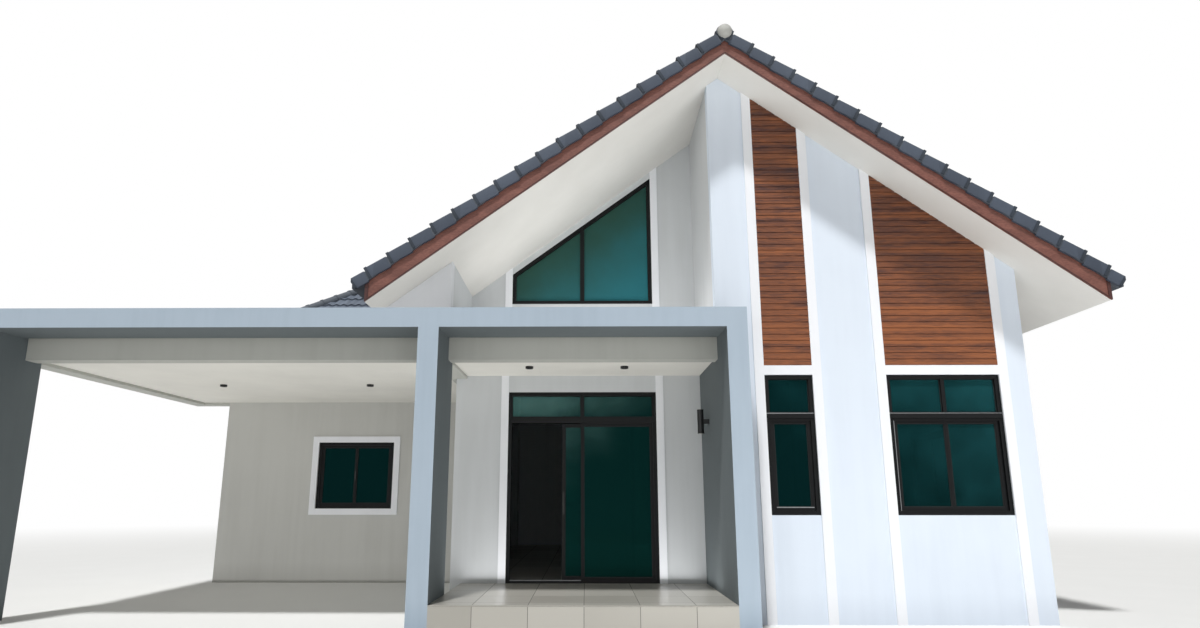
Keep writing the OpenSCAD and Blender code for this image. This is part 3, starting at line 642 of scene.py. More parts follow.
# Each glass's drift to its lighter teal is a painted reflection; the door's pale teal is almost all painted
# reflection
BAY_GLASS = TintedGlass(
    "tinted_float_glass_bay",
    "#0A2628",
    "#409098",
    turn=(0.35, 0.0, 0.5),
    centre=2.8,
    reach=1.1,
    wander=1.2,
)
SMALL_GLASS = TintedGlass("tinted_float_glass_small", "#06201E", "#0F3B3A")
HIGH_GLASS = TintedGlass(
    "tinted_float_glass_high",
    "#3F5F52",
    "#3E8A96",
    clear=0.4,
    turn=(0.594, 0.0, -0.805),
    centre=-4.5,
    reach=0.9,
    wander=0.5,
)
DOOR_GLASS = TintedGlass(
    "tinted_float_glass_door",
    "#10352C",
    "#A4D8D2",
    turn=(-0.6, 0.0, 0.8),
    centre=3.7,
    reach=0.9,
    wander=0.8,
)
SOFFIT = PaintedBoard("fibre_cement_soffit", joint=(50.0, 2.4, 50.0))
CEILING = PaintedBoard("fibre_cement_ceiling", "#ECEAE3")
SLAB = FairConcrete("cast_concrete_slab")
PORCELAIN = FloorTile("glazed_porcelain_floor")
NOSING = Plain("honed_stone_nosing", "#A8A59D", "#8E8B84", 0.5, mottle_mm=25.0)
BALL = Plain("cement_ridge_ball", "#C6C6C1", "#A9A9A3", 0.7)
LAMP = Plain("die_cast_lamp", "#141516", "#202224", 0.4)
LENS = Plain("opal_acrylic_lens", "#D9D8D0", "#CBCAC2", 0.35, ior=1.49, transmission=0.2)
RUBBER = Plain("epdm_rubber_gasket", "#0C0D0D", "#161717", 0.75, ior=1.52)
# Mill aluminium; on the bay windows its bright trims also stand as painted highlights
MILL_AND_HIGHLIGHT = Plain("mill_finish_aluminium_and_painted_highlight", "#A9ABAD", "#8C8E90", 0.32, metallic=1.0, mottle_mm=30.0)

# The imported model's own nodes, by finish
CARRIED: dict[Finish, tuple[str, ...]] = {
    PORCELAIN: ("floor_slab", "porch_floor"),
    BAY_PAINT_AND_SKYLIGHT: ("front_bay_wall",),
    SIDE_SHADED_PAINT: ("bay_side_wall",),
    WALL_PAINT: ("right_wall", "rear_wall", "gable_infill_wall", "wing_left_wall", "wing_rear_wall"),
    SHADED_PAINT: (
        "left_walls",
        "recess_left_wall",
        "entry_side_walls",
        "entry_wall_over",
        "clerestory_wall",
    ),
    WING_SHADED_PAINT: ("wing_front_wall",),
    BAND_PAINT: ("white_bands", "small_window_surrounds"),
    CLADDING: ("wood_panels",),
    ALUMINIUM: (
        "bay_window_frames",
        "clerestory_frame",
        "small_window_frames",
        "door_frame",
        "door_fixed_leaf",
        "sliding_leaf",
    ),
    BAY_GLASS: ("bay_window_glass",),
    HIGH_GLASS: ("clerestory_glass",),
    SMALL_GLASS: ("small_window_glass",),
    DOOR_GLASS: ("door_fixed_glass", "sliding_glass"),
    CANOPY_PAINT: ("canopy_frame",),
    BEAM_SHADED_PAINT: ("canopy_beams",),
    SLAB: ("canopy_slab",),
    CEILING: ("canopy_ceilings",),
    ROOF_TILE: ("main_roof_left", "main_roof_right"),
    SOFFIT: ("main_soffit", "wing_soffit"),
    BARGE: ("bargeboards", "eave_fascias"),
    CAP_TILE: ("verge_tiles", "ridge_caps", "wing_hip_caps"),
    BALL: ("ridge_end_balls",),
    WING_TILE_PAINTED_LIGHT: ("wing_roof",),
    LAMP: ("outdoor_lamps",),
}


class Bench:
    """Edit-mode tools that shape one mesh at a time."""

    @staticmethod
    def clear() -> None:
        """Deselects every object."""
        bpy.ops.object.select_all(action="DESELECT")

    @staticmethod
    def hold(piece: Piece) -> None:
        """Makes a piece the only selected and the active one.

        Args:
            piece: The piece.
        """
        Bench.clear()
        piece.select_set(True)
        bpy.context.view_layer.objects.active = piece

    @staticmethod
    def named(name: str, scale: Place = (1, 1, 1)) -> Piece:
        """Names the new primitive, scales it and puts its place in its mesh.

        Args:
            name: The piece's name.
            scale: Its scale along X, Y and Z, before it is turned.

        Returns:
            The new piece.
        """
        piece = bpy.context.object
        piece.scale = scale
        piece.name = piece.data.name = name
        bpy.ops.object.transform_apply(location=True, rotation=True, scale=True)
        return piece

    @staticmethod
    def block(name: str, low: Place, high: Place) -> Piece:
        """Adds a block.

        Args:
            name: The piece's name.
            low: Its lowest corner.
            high: Its highest corner.

        Returns:
            The new piece.
        """
        Bench.clear()
        low, high = Vector(low), Vector(high)
        bpy.ops.mesh.primitive_cube_add(size=1, location=(low + high) / 2, scale=high - low)
        return Bench.named(name)

    @staticmethod
    def rod(name: str, radius: float, depth: float, place: Place, sides: int) -> Piece:
        """Adds an upright round rod.

        Args:
            name: The piece's name.
            radius: Its radius.
            depth: Its length.
            place: Its middle.
            sides: How many sides approximate the circle.

        Returns:
            The new piece.
        """
        Bench.clear()
        bpy.ops.mesh.primitive_cylinder_add(vertices=sides, radius=radius, depth=depth, location=place)
        return Bench.named(name)

    @staticmethod
    def select(piece: Piece, pick: Pick, test: Test | None = None) -> None:
        """Opens a piece in edit mode with what passes the test selected.

        Args:
            piece: The piece to open.
            pick: Whether vertices, edges or faces are selected.
            test: Takes the middle and the normal of each (for an edge, its direction), and
                is true for those to select. All are selected where there is none.
        """
        Bench.hold(piece)
        mesh = piece.data
        bpy.context.tool_settings.mesh_select_mode = pick.value
        bpy.ops.object.mode_set(mode="EDIT")
        bpy.ops.mesh.select_all(action="DESELECT" if test else "SELECT")
        if not test:
            return
        bpy.ops.object.mode_set(mode="OBJECT")
        points = [v.co for v in mesh.vertices]
        if pick is Pick.VERTS:
            for v in mesh.vertices:
                v.select = test(v.co, v.normal)
        elif pick is Pick.EDGES:
            for e in mesh.edges:
                a, b = (points[i] for i in e.vertices)
                e.select = test((a + b) / 2, (b - a).normalized())
        else:
            for p in mesh.polygons:
                p.select = test(p.center, p.normal)
        bpy.ops.object.mode_set(mode="EDIT")

    @staticmethod
    def done() -> None:
        """Leaves edit mode."""
        bpy.ops.object.mode_set(mode="OBJECT")

    @staticmethod
    def edit(piece: Piece, pick: Pick, tool: Callable, test: Test | None = None, **settings: object) -> None:
        """Runs one edit-mode tool on what passes a test.

        Args:
            piece: The piece to edit.
            pick: Whether vertices, edges or faces are selected.
            tool: The operator.
            test: As select takes it.
            settings: The operator's settings.
        """
        Bench.select(piece, pick, test)
        tool(**settings)
        Bench.done()

    @staticmethod
    def outwards(piece: Piece) -> None:
        """Turns every face of a closed piece outwards."""
        Bench.edit(piece, Pick.FACES, bpy.ops.mesh.normals_make_consistent, inside=False)

    @staticmethod
    def bevel(piece: Piece, width: float, segments: int = 1, test: Test | None = None) -> None:
        """Bevels the edges that pass a test.

        Args:
            piece: The piece to bevel.
            width: The bevel's width.
            segments: How many faces make it.
            test: Which edges, by middle and direction; all where there is none.
        """
        tool = bpy.ops.mesh.bevel
        Bench.edit(piece, Pick.EDGES, tool, test, offset=width, segments=segments, affect="EDGES")

    @staticmethod
    def push(piece: Piece, by: Place, test: Test | None = None) -> None:
        """Extrudes the faces that pass a test.

        Args:
            piece: The piece to extrude.
            by: How far, along X, Y and Z.
            test: Which faces, by middle and normal; all where there is none.
        """
        move = {"value": by, "orient_type": "GLOBAL"}
        Bench.edit(piece, Pick.FACES, bpy.ops.mesh.extrude_region_move, test, TRANSFORM_OT_translate=move)

    @staticmethod
    def shift(piece: Piece, by: Place, test: Test | None = None) -> None:
        """Moves the vertices that pass a test by X, Y and Z, or all where there is none."""
        Bench.edit(piece, Pick.VERTS, bpy.ops.transform.translate, test, value=by)

    @staticmethod
    def cut(piece: Piece, point: Place, normal: Place, fill: bool = True) -> None:
        """Cuts away what lies on the normal's side of a plane.

        Args:
            piece: The piece to cut.
            point: A point on the plane.
            normal: The plane's normal, towards what goes.
            fill: Whether the cut is closed.
        """
        plane = {"plane_co": point, "plane_no": normal}
        Bench.edit(piece, Pick.FACES, bpy.ops.mesh.bisect, use_fill=fill, clear_outer=True, **plane)

    @staticmethod
    def turn(piece: Piece, angle: float, axis: str, centre: Place = (0, 0, 0)) -> None:
        """Turns a piece's mesh.

        Args:
            piece: The piece to turn.
            angle: The angle in radians, counter-clockwise seen from the axis's tip.
            axis: X, Y or Z.
            centre: The fixed point.
        """
        way = {"orient_axis": axis, "orient_type": "GLOBAL", "center_override": centre}
        Bench.edit(piece, Pick.VERTS, bpy.ops.transform.rotate, value=-angle, **way)

    @staticmethod
    def apply(piece: Piece, kind: str, **settings: object) -> None:
        """Adds a modifier and applies it.

        Args:
            piece: The piece that takes it.
            kind: The modifier's type.
            settings: Its settings.
        """
        Bench.hold(piece)
        modifier = piece.modifiers.new(kind.lower(), kind)
        for key, value in settings.items():
            setattr(modifier, key, value)
        bpy.ops.object.modifier_apply(modifier=modifier.name)

    @staticmethod
    def repeat(piece: Piece, count: int, step: Place) -> None:
        """Repeats a piece in a row, in its own mesh.

        Args:
            piece: The piece to repeat.
            count: How many there are in all.
            step: From one to the next, along X, Y and Z.
        """
        offset = {"use_constant_offset": True, "constant_offset_displace": step}
        Bench.apply(piece, "ARRAY", use_relative_offset=False, count=count, **offset)

    @staticmethod
    def reflect(piece: Piece, axes: str) -> None:
        """Adds mirrored copies across the building's middle planes, X, Y or both, to a piece's mesh."""
        Bench.apply(piece, "MIRROR", use_axis=[axis in axes for axis in "XYZ"], use_mirror_merge=False)

    @staticmethod
    def join(name: str, parts: Iterable[Piece]) -> Piece:
        """Joins parts into one piece.

        Args:
            name: The joined piece's name.
            parts: What to join.

        Returns:
            The joined piece.
        """
        parts = list(parts)
        Bench.hold(parts[0])
        for part in parts[1:]:
            part.select_set(True)
        if len(parts) > 1:
            bpy.ops.object.join()
        piece = bpy.context.object
        piece.name = piece.data.name = name
        return piece

    @staticmethod
    def smooth(piece: Piece, degrees: float = 40.0) -> None:
        """Smooths the shading across edges of up to that many degrees."""
        Bench.hold(piece)
        bpy.ops.object.shade_smooth_by_angle(angle=math.radians(degrees))

    @staticmethod
    def ring(
        name: str, outline: Outline, near: float, depth: float, face: float, plane: Plane | None = None
    ) -> Piece:
        """Adds a frame of even width that stands in an XZ plane.

        Args:
            name: The piece's name.
            outline: Left, right, low and high of its outer edge.
            near: Y of its front face.
            depth: How far it runs to the rear.
            face: Its width as seen from the front.
            plane: A point and a normal of a plane that slopes its outline, if any.

        Returns:
            The new piece.
        """
        left, right, low, high = outline
        Bench.clear()
        middle = ((left + right) / 2, near, (low + high) / 2)
        bpy.ops.mesh.primitive_plane_add(size=1, location=middle, rotation=(math.pi / 2, 0, 0))
        piece = Bench.named(name, (right - left, high - low, 1))
        if plane:
            Bench.cut(piece, *plane, fill=False)
        Bench.select(piece, Pick.FACES)
        bpy.ops.mesh.inset(thickness=face)
        bpy.ops.mesh.delete(type="FACE")
        bpy.ops.mesh.select_all(action="SELECT")
        bpy.ops.mesh.extrude_region_move(TRANSFORM_OT_translate={"value": (0, depth, 0)})
        Bench.done()
        Bench.outwards(piece)
        return piece


def coat(mesh: bpy.types.Mesh, finish: Finish) -> None:
    """Gives a mesh a finish as its only material."""
    mesh.materials.clear()
    mesh.materials.append(finish.material())


def publish(piece: Piece, finish: Finish, body: Body = Body.HOUSE) -> None:
    """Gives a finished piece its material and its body.

    Args:
        piece: The finished piece.
        finish: Its finish.
        body: The body that it moves with.
    """
    coat(piece.data, finish)
    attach(piece, body.value)
    log.info("%s: %d faces", piece.name, len(piece.data.polygons))


def solids(node: str) -> list[tuple[Vector, Vector]]:
    """Finds the boxes of a node's separate solids.

    Args:
        node: The node's name.

    Returns:
        The lowest and the highest corner of each, in order of place.
    """
    piece = bpy.data.objects.new(node + "_parts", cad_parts[node].data.copy())
    bpy.context.scene.collection.objects.link(piece)
    Bench.select(piece, Pick.VERTS)
    bpy.ops.mesh.remove_doubles(threshold=0.00001)
    bpy.ops.mesh.separate(type="LOOSE")
    Bench.done()
    boxes = []
    for part in list(bpy.context.selected_objects):
        places = [v.co for v in part.data.vertices]
        low, high = (Vector([end(at[i] for at in places) for i in range(3)]) for end in (min, max))
        boxes.append((low, high))
        bpy.data.objects.remove(part)
    return sorted(boxes, key=lambda box: tuple(round(c, 3) for c in (*box[0], *box[1])))


@dataclass
class Roof:
    """The main roof's wavy tiles, verge units, end strips and fillets."""

    courses: int = 18
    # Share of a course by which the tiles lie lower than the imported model's own steps
    shift: float = 0.35
    course_t: float = 0.045
    lip: float = 0.035
    tile_w: float = 0.3
    tile_gap: float = 0.002
    sheet: float = 0.014
    lift: float = 0.003
    overhang: float = 0.006
    head: float = 0.03
    ridge_gap: float = 0.004
    # Heights across one tile, two rolls with a pan between them
    wave: tuple[float, ...] = (0.0, *(0.006, 0.018, 0.024, 0.018, 0.006, 0.0) * 2)
    verge_t: float = 0.045
    verge_w: float = 0.22
    verge_skin: float = 0.012
    verge_round: float = 0.007
    unit_proud: float = 0.004
    unit_gap: float = 0.006
    collar_w: float = 0.03
    collar_proud: float = 0.006
    flap_drop: float = 0.05
    flap_gap: float = 0.001
    board_h: float = 0.22
    strip_w: float = 0.04
    strip_t: float = 0.008
    fillet_h: float = 0.012
    fillet_t: float = 0.008

    def __post_init__(self) -> None:
        """Reads the roof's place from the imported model."""
        low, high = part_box("main_roof_right")
        self.half = high.x
        self.run = self.half / self.courses
        # The line of the courses' upper ends, brought up to the ridge
        self.top = high.z + self.shift * self.lip
        self.slope = math.tan(PITCH)
        self.fall = (self.top - self.course_t - low.z) / self.half
        self.step: Place = (self.run, 0.0, -self.fall * self.run)
        self.drop = self.fall * self.run - self.lip
        self.course_pitch = math.atan(self.drop / self.run)
        self.course_len = math.hypot(self.run, self.drop)
        self.front = low.y
        self.verge_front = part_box("verge_tiles")[0].y
        self.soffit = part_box("bargeboards")[0].z
        self.board_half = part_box("bargeboards")[1].x
        self.apex = self.soffit + self.slope * self.board_half

    def tile(self, name: str, length: float) -> Piece:
        """One double-roll tile, laid flat with its head at X 0 and its left side at Y 0.

        Args:
            name: The piece's name.
            length: From its head to its lower edge.

        Returns:
            The tile, a closed shell.
        """
        columns = len(self.wave) - 1
        width = self.tile_w - self.tile_gap
        middle = (length / 2, self.tile_w / 2, self.lift)
        Bench.clear()
        bpy.ops.mesh.primitive_grid_add(x_subdivisions=1, y_subdivisions=columns, size=1, location=middle)
        tile = Bench.named(name, (length, width, 1))
        pitch = width / columns
        for height in sorted(set(self.wave) - {0.0}):
            Bench.shift(
                tile,
                (0, 0, height),
                lambda at, _: self.wave[round((at.y - self.tile_gap / 2) / pitch)] == height,
            )
        Bench.push(tile, (0, 0, -self.sheet))
        Bench.outwards(tile)
        Bench.smooth(tile, degrees=50)
        return tile

    def lay(self, piece: Piece) -> None:
        """Repeats one course's piece down the right slope, from the ridge to the eave.

        Args:
            piece: The piece, laid flat with its head at X 0, at the height of the ridge.
        """
        Bench.turn(piece, self.course_pitch, "Y", (0, 0, self.top))
        first = self.shift - 1
        Bench.shift(piece, tuple(part * first for part in self.step))
        Bench.repeat(piece, self.courses + 1, self.step)
        Bench.cut(piece, (self.ridge_gap, 0, 0), (-1, 0, 0))

    def tiles(self) -> None:
        """Lays the tiles on both slopes of the main roof."""
        tile = self.tile("main_roof_tiles", self.course_len + self.head + self.overhang)
        inner = self.front + self.verge_w
        Bench.shift(tile, (-self.head, inner, self.top))
        Bench.repeat(tile, math.ceil(-2 * inner / self.tile_w), (0, self.tile_w, 0))
        self.lay(tile)
        Bench.cut(tile, (self.half + self.overhang, 0, 0), (1, 0, 0))
        Bench.cut(tile, (0, -inner, 0), (0, 1, 0))
        Bench.reflect(tile, "X")
        publish(tile, ROOF_TILE)

    def verge_block(self, name: str, head: float, foot: float, proud: float) -> Piece:
        """A cover over the verge with a flap down its front, laid flat with its head at X 0.

        Args:
            name: The piece's name.
            head: X of its upper end.
            foot: X of its lower end.
            proud: How far it stands off the plain verge.

        Returns:
            The block.
        """
        top = self.top + self.verge_t + proud
        face = self.verge_front - proud
        low = (head, face, top - proud - self.verge_skin)
        unit = Bench.block(name, low, (foot, self.front + self.verge_w + proud, top))
        plane = {"plane_co": (0, self.front - self.flap_gap, 0), "plane_no": (0, 1, 0)}
        Bench.edit(unit, Pick.FACES, bpy.ops.mesh.bisect, **plane)
        reach = self.course_t + self.verge_t + self.flap_drop - self.verge_skin
        Bench.push(unit, (0, 0, -reach), lambda at, normal: normal.z < -ALONG and at.y < self.front)
        Bench.outwards(unit)
        front = face + SLACK
        Bench.bevel(unit, self.verge_round, 2, lambda at, way: abs(way.x) > ALONG and at.y < front)
        return unit

    def verge(self) -> None:
        """Lays the verge units and their collars, one to a course, at both gables."""
        eave = self.half + self.overhang
        top = self.top - self.fall * self.half + self.verge_t + (1 - self.shift) * self.lip
        collar = self.unit_proud + self.collar_proud
        for name, head, proud, finish in (
            ("verge_units", self.unit_gap, self.unit_proud, VERGE_TILE),
            ("verge_collars", self.course_len - self.collar_w, collar, COLLAR_TILE),
        ):
            unit = self.verge_block(name, head, self.course_len + self.overhang, proud)
            self.lay(unit)
            Bench.cut(unit, (eave, 0, top), (math.cos(PITCH), 0, -math.sin(PITCH)))
            if finish is COLLAR_TILE:
                last = self.verge_block(name + "_last", -self.collar_w, 0, proud)
                Bench.turn(last, PITCH, "Y", (0, 0, self.top))
                Bench.shift(last, (eave, 0, top - self.top - self.verge_t))
                unit = Bench.join(name, [unit, last])
            Bench.cut(unit, (eave, 0, 0), (1, 0, 0))
            Bench.reflect(unit, "XY")
            Bench.smooth(unit, degrees=30)
            publish(unit, finish)

    def boards(self) -> None:
        """Puts a fillet along the lower edge of each bargeboard and a strip at its plumb end, both stained
        dark as painted shade.
        """
        fillet = Bench.block(
            "barge_fillets",
            (0, self.front - self.fillet_t, self.apex),
            (self.board_half, self.front, self.apex + self.fillet_h),
        )
        Bench.shift(fillet, (0, 0, self.soffit - self.apex), lambda at, _: at.x > self.board_half / 2)
        inner = self.board_half - self.strip_w
        strip = Bench.block(
            "barge_end_strips",
            (inner, self.front - self.strip_t, self.soffit + self.fillet_h),
            (self.board_half, self.front, self.soffit + self.board_h),
        )
        Bench.shift(strip, (0, 0, self.slope * self.strip_w), lambda at, _: at.x < inner + SLACK)
        # Both pieces take the dark stain as painted shade
        for piece in (fillet, strip):
            Bench.reflect(piece, "XY")
            publish(piece, BARGE_PAINTED_SHADE)

    def build(self) -> None:
        """Builds and dresses all of it."""
        self.tiles()
        self.verge()
        self.boards()


@dataclass
class WingRoof:
    """Wavy tiles on the three slopes of the wing's hipped roof."""

    main: Roof
    courses: int = 14
    valley_sink: float = 0.01

    def __post_init__(self) -> None:
        """Reads the wing roof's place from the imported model."""
        self.low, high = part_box("wing_roof")
        self.half = (high.y - self.low.y) / 2
        self.run = self.half / self.courses
        self.drop = self.main.slope * self.run - self.main.lip
        # The courses' upper surface, where the head of the lowest tiles lies
        self.base = self.low.z + self.main.course_t + self.main.slope * self.run

    def slope_tiles(self, name: str, span: float) -> Piece:
        """Tiles of one slope that falls along +X from its ridge, before they are cut.

        Args:
            name: The piece's name.
            span: Length of its eave.

        Returns:
            The tiles, with the eave's near end at Y 0 and the eave itself at X 0.
        """
        m = self.main
        length = math.hypot(self.run, self.drop) + m.head + m.overhang
        tile = m.tile(name, length)
        Bench.shift(tile, (-self.run - m.head, 0, self.base))
        Bench.turn(tile, math.atan(self.drop / self.run), "Y", (-self.run, 0, self.base))
        Bench.repeat(tile, math.ceil(span / m.tile_w), (0, m.tile_w, 0))
        Bench.repeat(tile, self.courses, (-self.run, 0, m.slope * self.run))
        return tile

    def build(self) -> None:
        """Builds the side, the front and the rear slope and cuts them at hips and valleys."""
        left = self.low.x
        span = 2 * self.half
        near: Place = (left, self.low.y, 0)
        far: Place = (left, self.low.y + span, 0)
        quarter = math.pi / 2
        top = self.main.top + self.main.lip - self.valley_sink
        valley: Plane = ((0.0, 0.0, top), (self.main.fall, 0.0, -1.0))
        for name, eave, turn, place, planes in (
            ("wing_tiles_side", span, 2 * quarter, far, ((near, (1, -1, 0)), (far, (1, 1, 0)))),
            ("wing_tiles_front", -left, -quarter, near, ((near, (-1, 1, 0)), valley)),
            ("wing_tiles_rear", -left, quarter, (0, far[1], 0), ((far, (-1, -1, 0)), valley)),
        ):
            tiles = self.slope_tiles(name, eave)
            Bench.turn(tiles, turn, "Z")
            Bench.shift(tiles, place)
            for plane in (*planes, ((left, 0, 0), (-1, 0, 0))):
                Bench.cut(tiles, *plane)
            publish(tiles, WING_TILE_PAINTED_LIGHT)


@dataclass
class Cladding:
    """Horizontal timber boards over the bay's two windows."""

    pitch: float = 0.078
    groove: float = 0.009
    backing: float = 0.007
    edge: float = 0.003

    def panel(self, name: str, left: float, right: float) -> Piece:
        """One panel: backing and boards, cut to the slope of the soffit.

        Args:
            name: The piece's name.
            left: Its left edge.
            right: Its right edge.

        Returns:
            The panel.
        """
        low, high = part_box("wood_panels")
        seam = high.y - self.backing
        foot = low.z + self.groove / 2
        board = Bench.block(name, (left, low.y, foot), (right, seam, foot + self.pitch - self.groove))
        Bench.bevel(board, self.edge, 1, lambda at, way: abs(way.x) > ALONG and at.y < low.y + SLACK)
        Bench.repeat(board, math.ceil((high.z - low.z) / self.pitch), (0, 0, self.pitch))
        back = Bench.block(name + "_back", (left, seam, low.z), (right, high.y, high.z))
        for part in (board, back):
            Bench.cut(part, (low.x, 0, high.z), (math.sin(PITCH), 0, math.cos(PITCH)))
        return Bench.join(name, [board, back])

    def build(self) -> None:
        """Builds both panels in place of the plain ones."""
        low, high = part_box("wood_panels")
        narrow = self.panel("cladding_narrow", low.x, low.x + NARROW_W)
        wide = self.panel("cladding_wide", high.x - WIDE_W, high.x)
        piece = Bench.join("timber_cladding", [narrow, wide])
        publish(piece, CLADDING)
        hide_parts("wood_panels")


@dataclass(frozen=True)
class Pane:
    """The box of a pane or frame; one in a side wall is treated as if turned to the front."""

    low: Vector
    high: Vector

    def turned(self) -> bool:
        """Whether it stands in a side wall."""
        return self.high.x - self.low.x < self.high.y - self.low.y

    def span(self) -> Outline:
        """Finds its sides.

        Returns:
            Left, right, near and far.
        """
        if self.turned():
            return self.low.y, self.high.y, -self.high.x, -self.low.x
        return self.low.x, self.high.x, self.low.y, self.high.y

    def start(self, depth: float) -> float:
        """Y of the near side of a fitting of some depth that sits on its outer face."""
        _, _, near, far = self.span()
        return near - depth if near + far < 0 else far

    def place(self, fitting: Piece) -> None:
        """Turns a fitting that was made facing the front to its own wall."""
        if self.turned():
            Bench.turn(fitting, math.pi / 2, "Z")


@dataclass
class Gaskets:
    """Rubber gaskets round the outer side of every pane, and pulls on the sliding windows."""

    face: float = 0.007
    depth: float = 0.008
    pull_w: float = 0.02
    pull_h: float = 0.16
    pull_t: float = 0.005
    pull_edge: float = 0.0015

    def ring(self, pane: Pane, sloped: bool) -> Piece:
        """One gasket.

        Args:
            pane: The pane that it seals.
            sloped: Whether its head runs up to its upper right corner.

        Returns:
            The gasket.
        """
        left, right, _, _ = pane.span()
        slope: Plane = ((pane.high.x, 0.0, pane.high.z), (-math.sin(PITCH), 0.0, math.cos(PITCH)))
        outline = (left, right, pane.low.z, pane.high.z)
        start = pane.start(self.depth)
        ring = Bench.ring("ring", outline, start, self.depth, self.face, slope if sloped else None)
        pane.place(ring)
        return ring

    def pull(self, pane: Pane) -> Piece:
        """A pull at the meeting stile of one sliding window.

        Args:
            pane: The window's frame.

        Returns:
            The pull.
        """
        left, right, _, _ = pane.span()
        start = pane.start(self.pull_t)
        x, z = (left + right) / 2, (pane.low.z + pane.high.z) / 2
        half_w, half_h = self.pull_w / 2, self.pull_h / 2
        pull = Bench.block(
            "pull", (x - half_w, start, z - half_h), (x + half_w, start + self.pull_t, z + half_h)
        )
        Bench.bevel(pull, self.pull_edge)
        pane.place(pull)
        return pull

    def build(self) -> None:
        """Builds and dresses all of them."""
        for name, node, body in (
            ("bay_window_gaskets", "bay_window_glass", Body.HOUSE),
            ("small_window_gaskets", "small_window_glass", Body.HOUSE),
            ("high_window_gaskets", "clerestory_glass", Body.HOUSE),
            ("fixed_door_gaskets", "door_fixed_glass", Body.HOUSE),
            ("sliding_leaf_gasket", "sliding_glass", Body.LEAF),
        ):
            rings = [self.ring(Pane(*box), node == "clerestory_glass") for box in solids(node)]
            publish(Bench.join(name, rings), RUBBER, body)
        pulls = [self.pull(Pane(*box)) for box in solids("small_window_frames")]
        publish(Bench.join("sliding_window_pulls", pulls), LAMP)


@dataclass
class BayWindows:
    """Transom caps, sash stops and bright trims, partly real aluminium and partly painted highlights, of the
    bay's two windows.
    """

    frame_w: float = 0.05
    sash_w: float = 0.045
    bar_h: float = 0.09
    light_h: float = 0.503
    cap_h: float = 0.058
    cap_proud: float = 0.02
    cap_sunk: float = 0.004
    cap_round: float = 0.004
    stop: float = 0.012
    trim: float = 0.01
    trim_proud: float = 0.004
    side_trim: float = 0.007
    drip_lap: float = 0.002
    drip_fall: float = 0.01

    def window(self, left: float, width: float, wide: bool) -> tuple[list[Piece], list[Piece]]:
        """The fittings of one window.

        Args:
            left: Its left edge.
            width: Its width.
            wide: Whether it is the wide window.

        Returns:
            The black parts and the bright ones.
        """
        low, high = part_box("bay_window_frames")
        right = left + width
        bar = high.z - self.light_h
        head = bar - self.bar_h / 2
        foot = low.z + self.frame_w
        face = low.y - self.cap_proud
        top = bar + self.cap_h / 2
        inner_left, inner_right = left + self.frame_w, right - self.frame_w
        cap = Bench.block(
            "cap",
            (left + self.trim, face, bar - self.cap_h / 2),
            (right - self.trim, low.y + self.cap_sunk, top),
        )
        Bench.bevel(cap, self.cap_round, 2)
        outline = (inner_left - self.stop, inner_right + self.stop, foot - self.stop, head)
        stop = Bench.ring("stop", outline, low.y - self.stop / 2, self.stop, self.stop)
        # The drip is bright mill aluminium: partly a real trim, partly a painted highlight along the transom
        drip = Bench.block(
            "trim",
            (left + self.trim, face + self.drip_lap, top - self.drip_lap),
            (right - self.trim, low.y, top + self.trim),
        )
        # The drip's top falls to the front, so that it catches the light from above
        front = low.y - self.drip_lap
        Bench.shift(drip, (0, self.drip_fall, 0), lambda at, _: at.z > top and at.y < front)
        y = low.y - self.trim_proud
        # The bright trim is partly a real aluminium strip and partly a painted highlight on the frame's edge
        if wide:
            bright = Bench.block(
                "trim", (inner_left, y, foot), (inner_left + self.side_trim, low.y, head)
            )
        else:
            rail, inset = foot + self.sash_w, self.sash_w / 2
            bright = Bench.block(
                "trim", (inner_left + inset, y, rail - self.trim), (inner_right - inset, low.y, rail)
            )
        return [cap, stop], [drip, bright]

    def build(self) -> None:
        """Builds and dresses both windows' fittings."""
        low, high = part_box("bay_window_frames")
        dark, bright = self.window(low.x, NARROW_W, False)
        more_dark, more_bright = self.window(high.x - WIDE_W, WIDE_W, True)
        publish(Bench.join("bay_window_caps", dark + more_dark), ALUMINIUM)
        publish(Bench.join("bay_window_trims_and_highlights", bright + more_bright), MILL_AND_HIGHLIGHT)


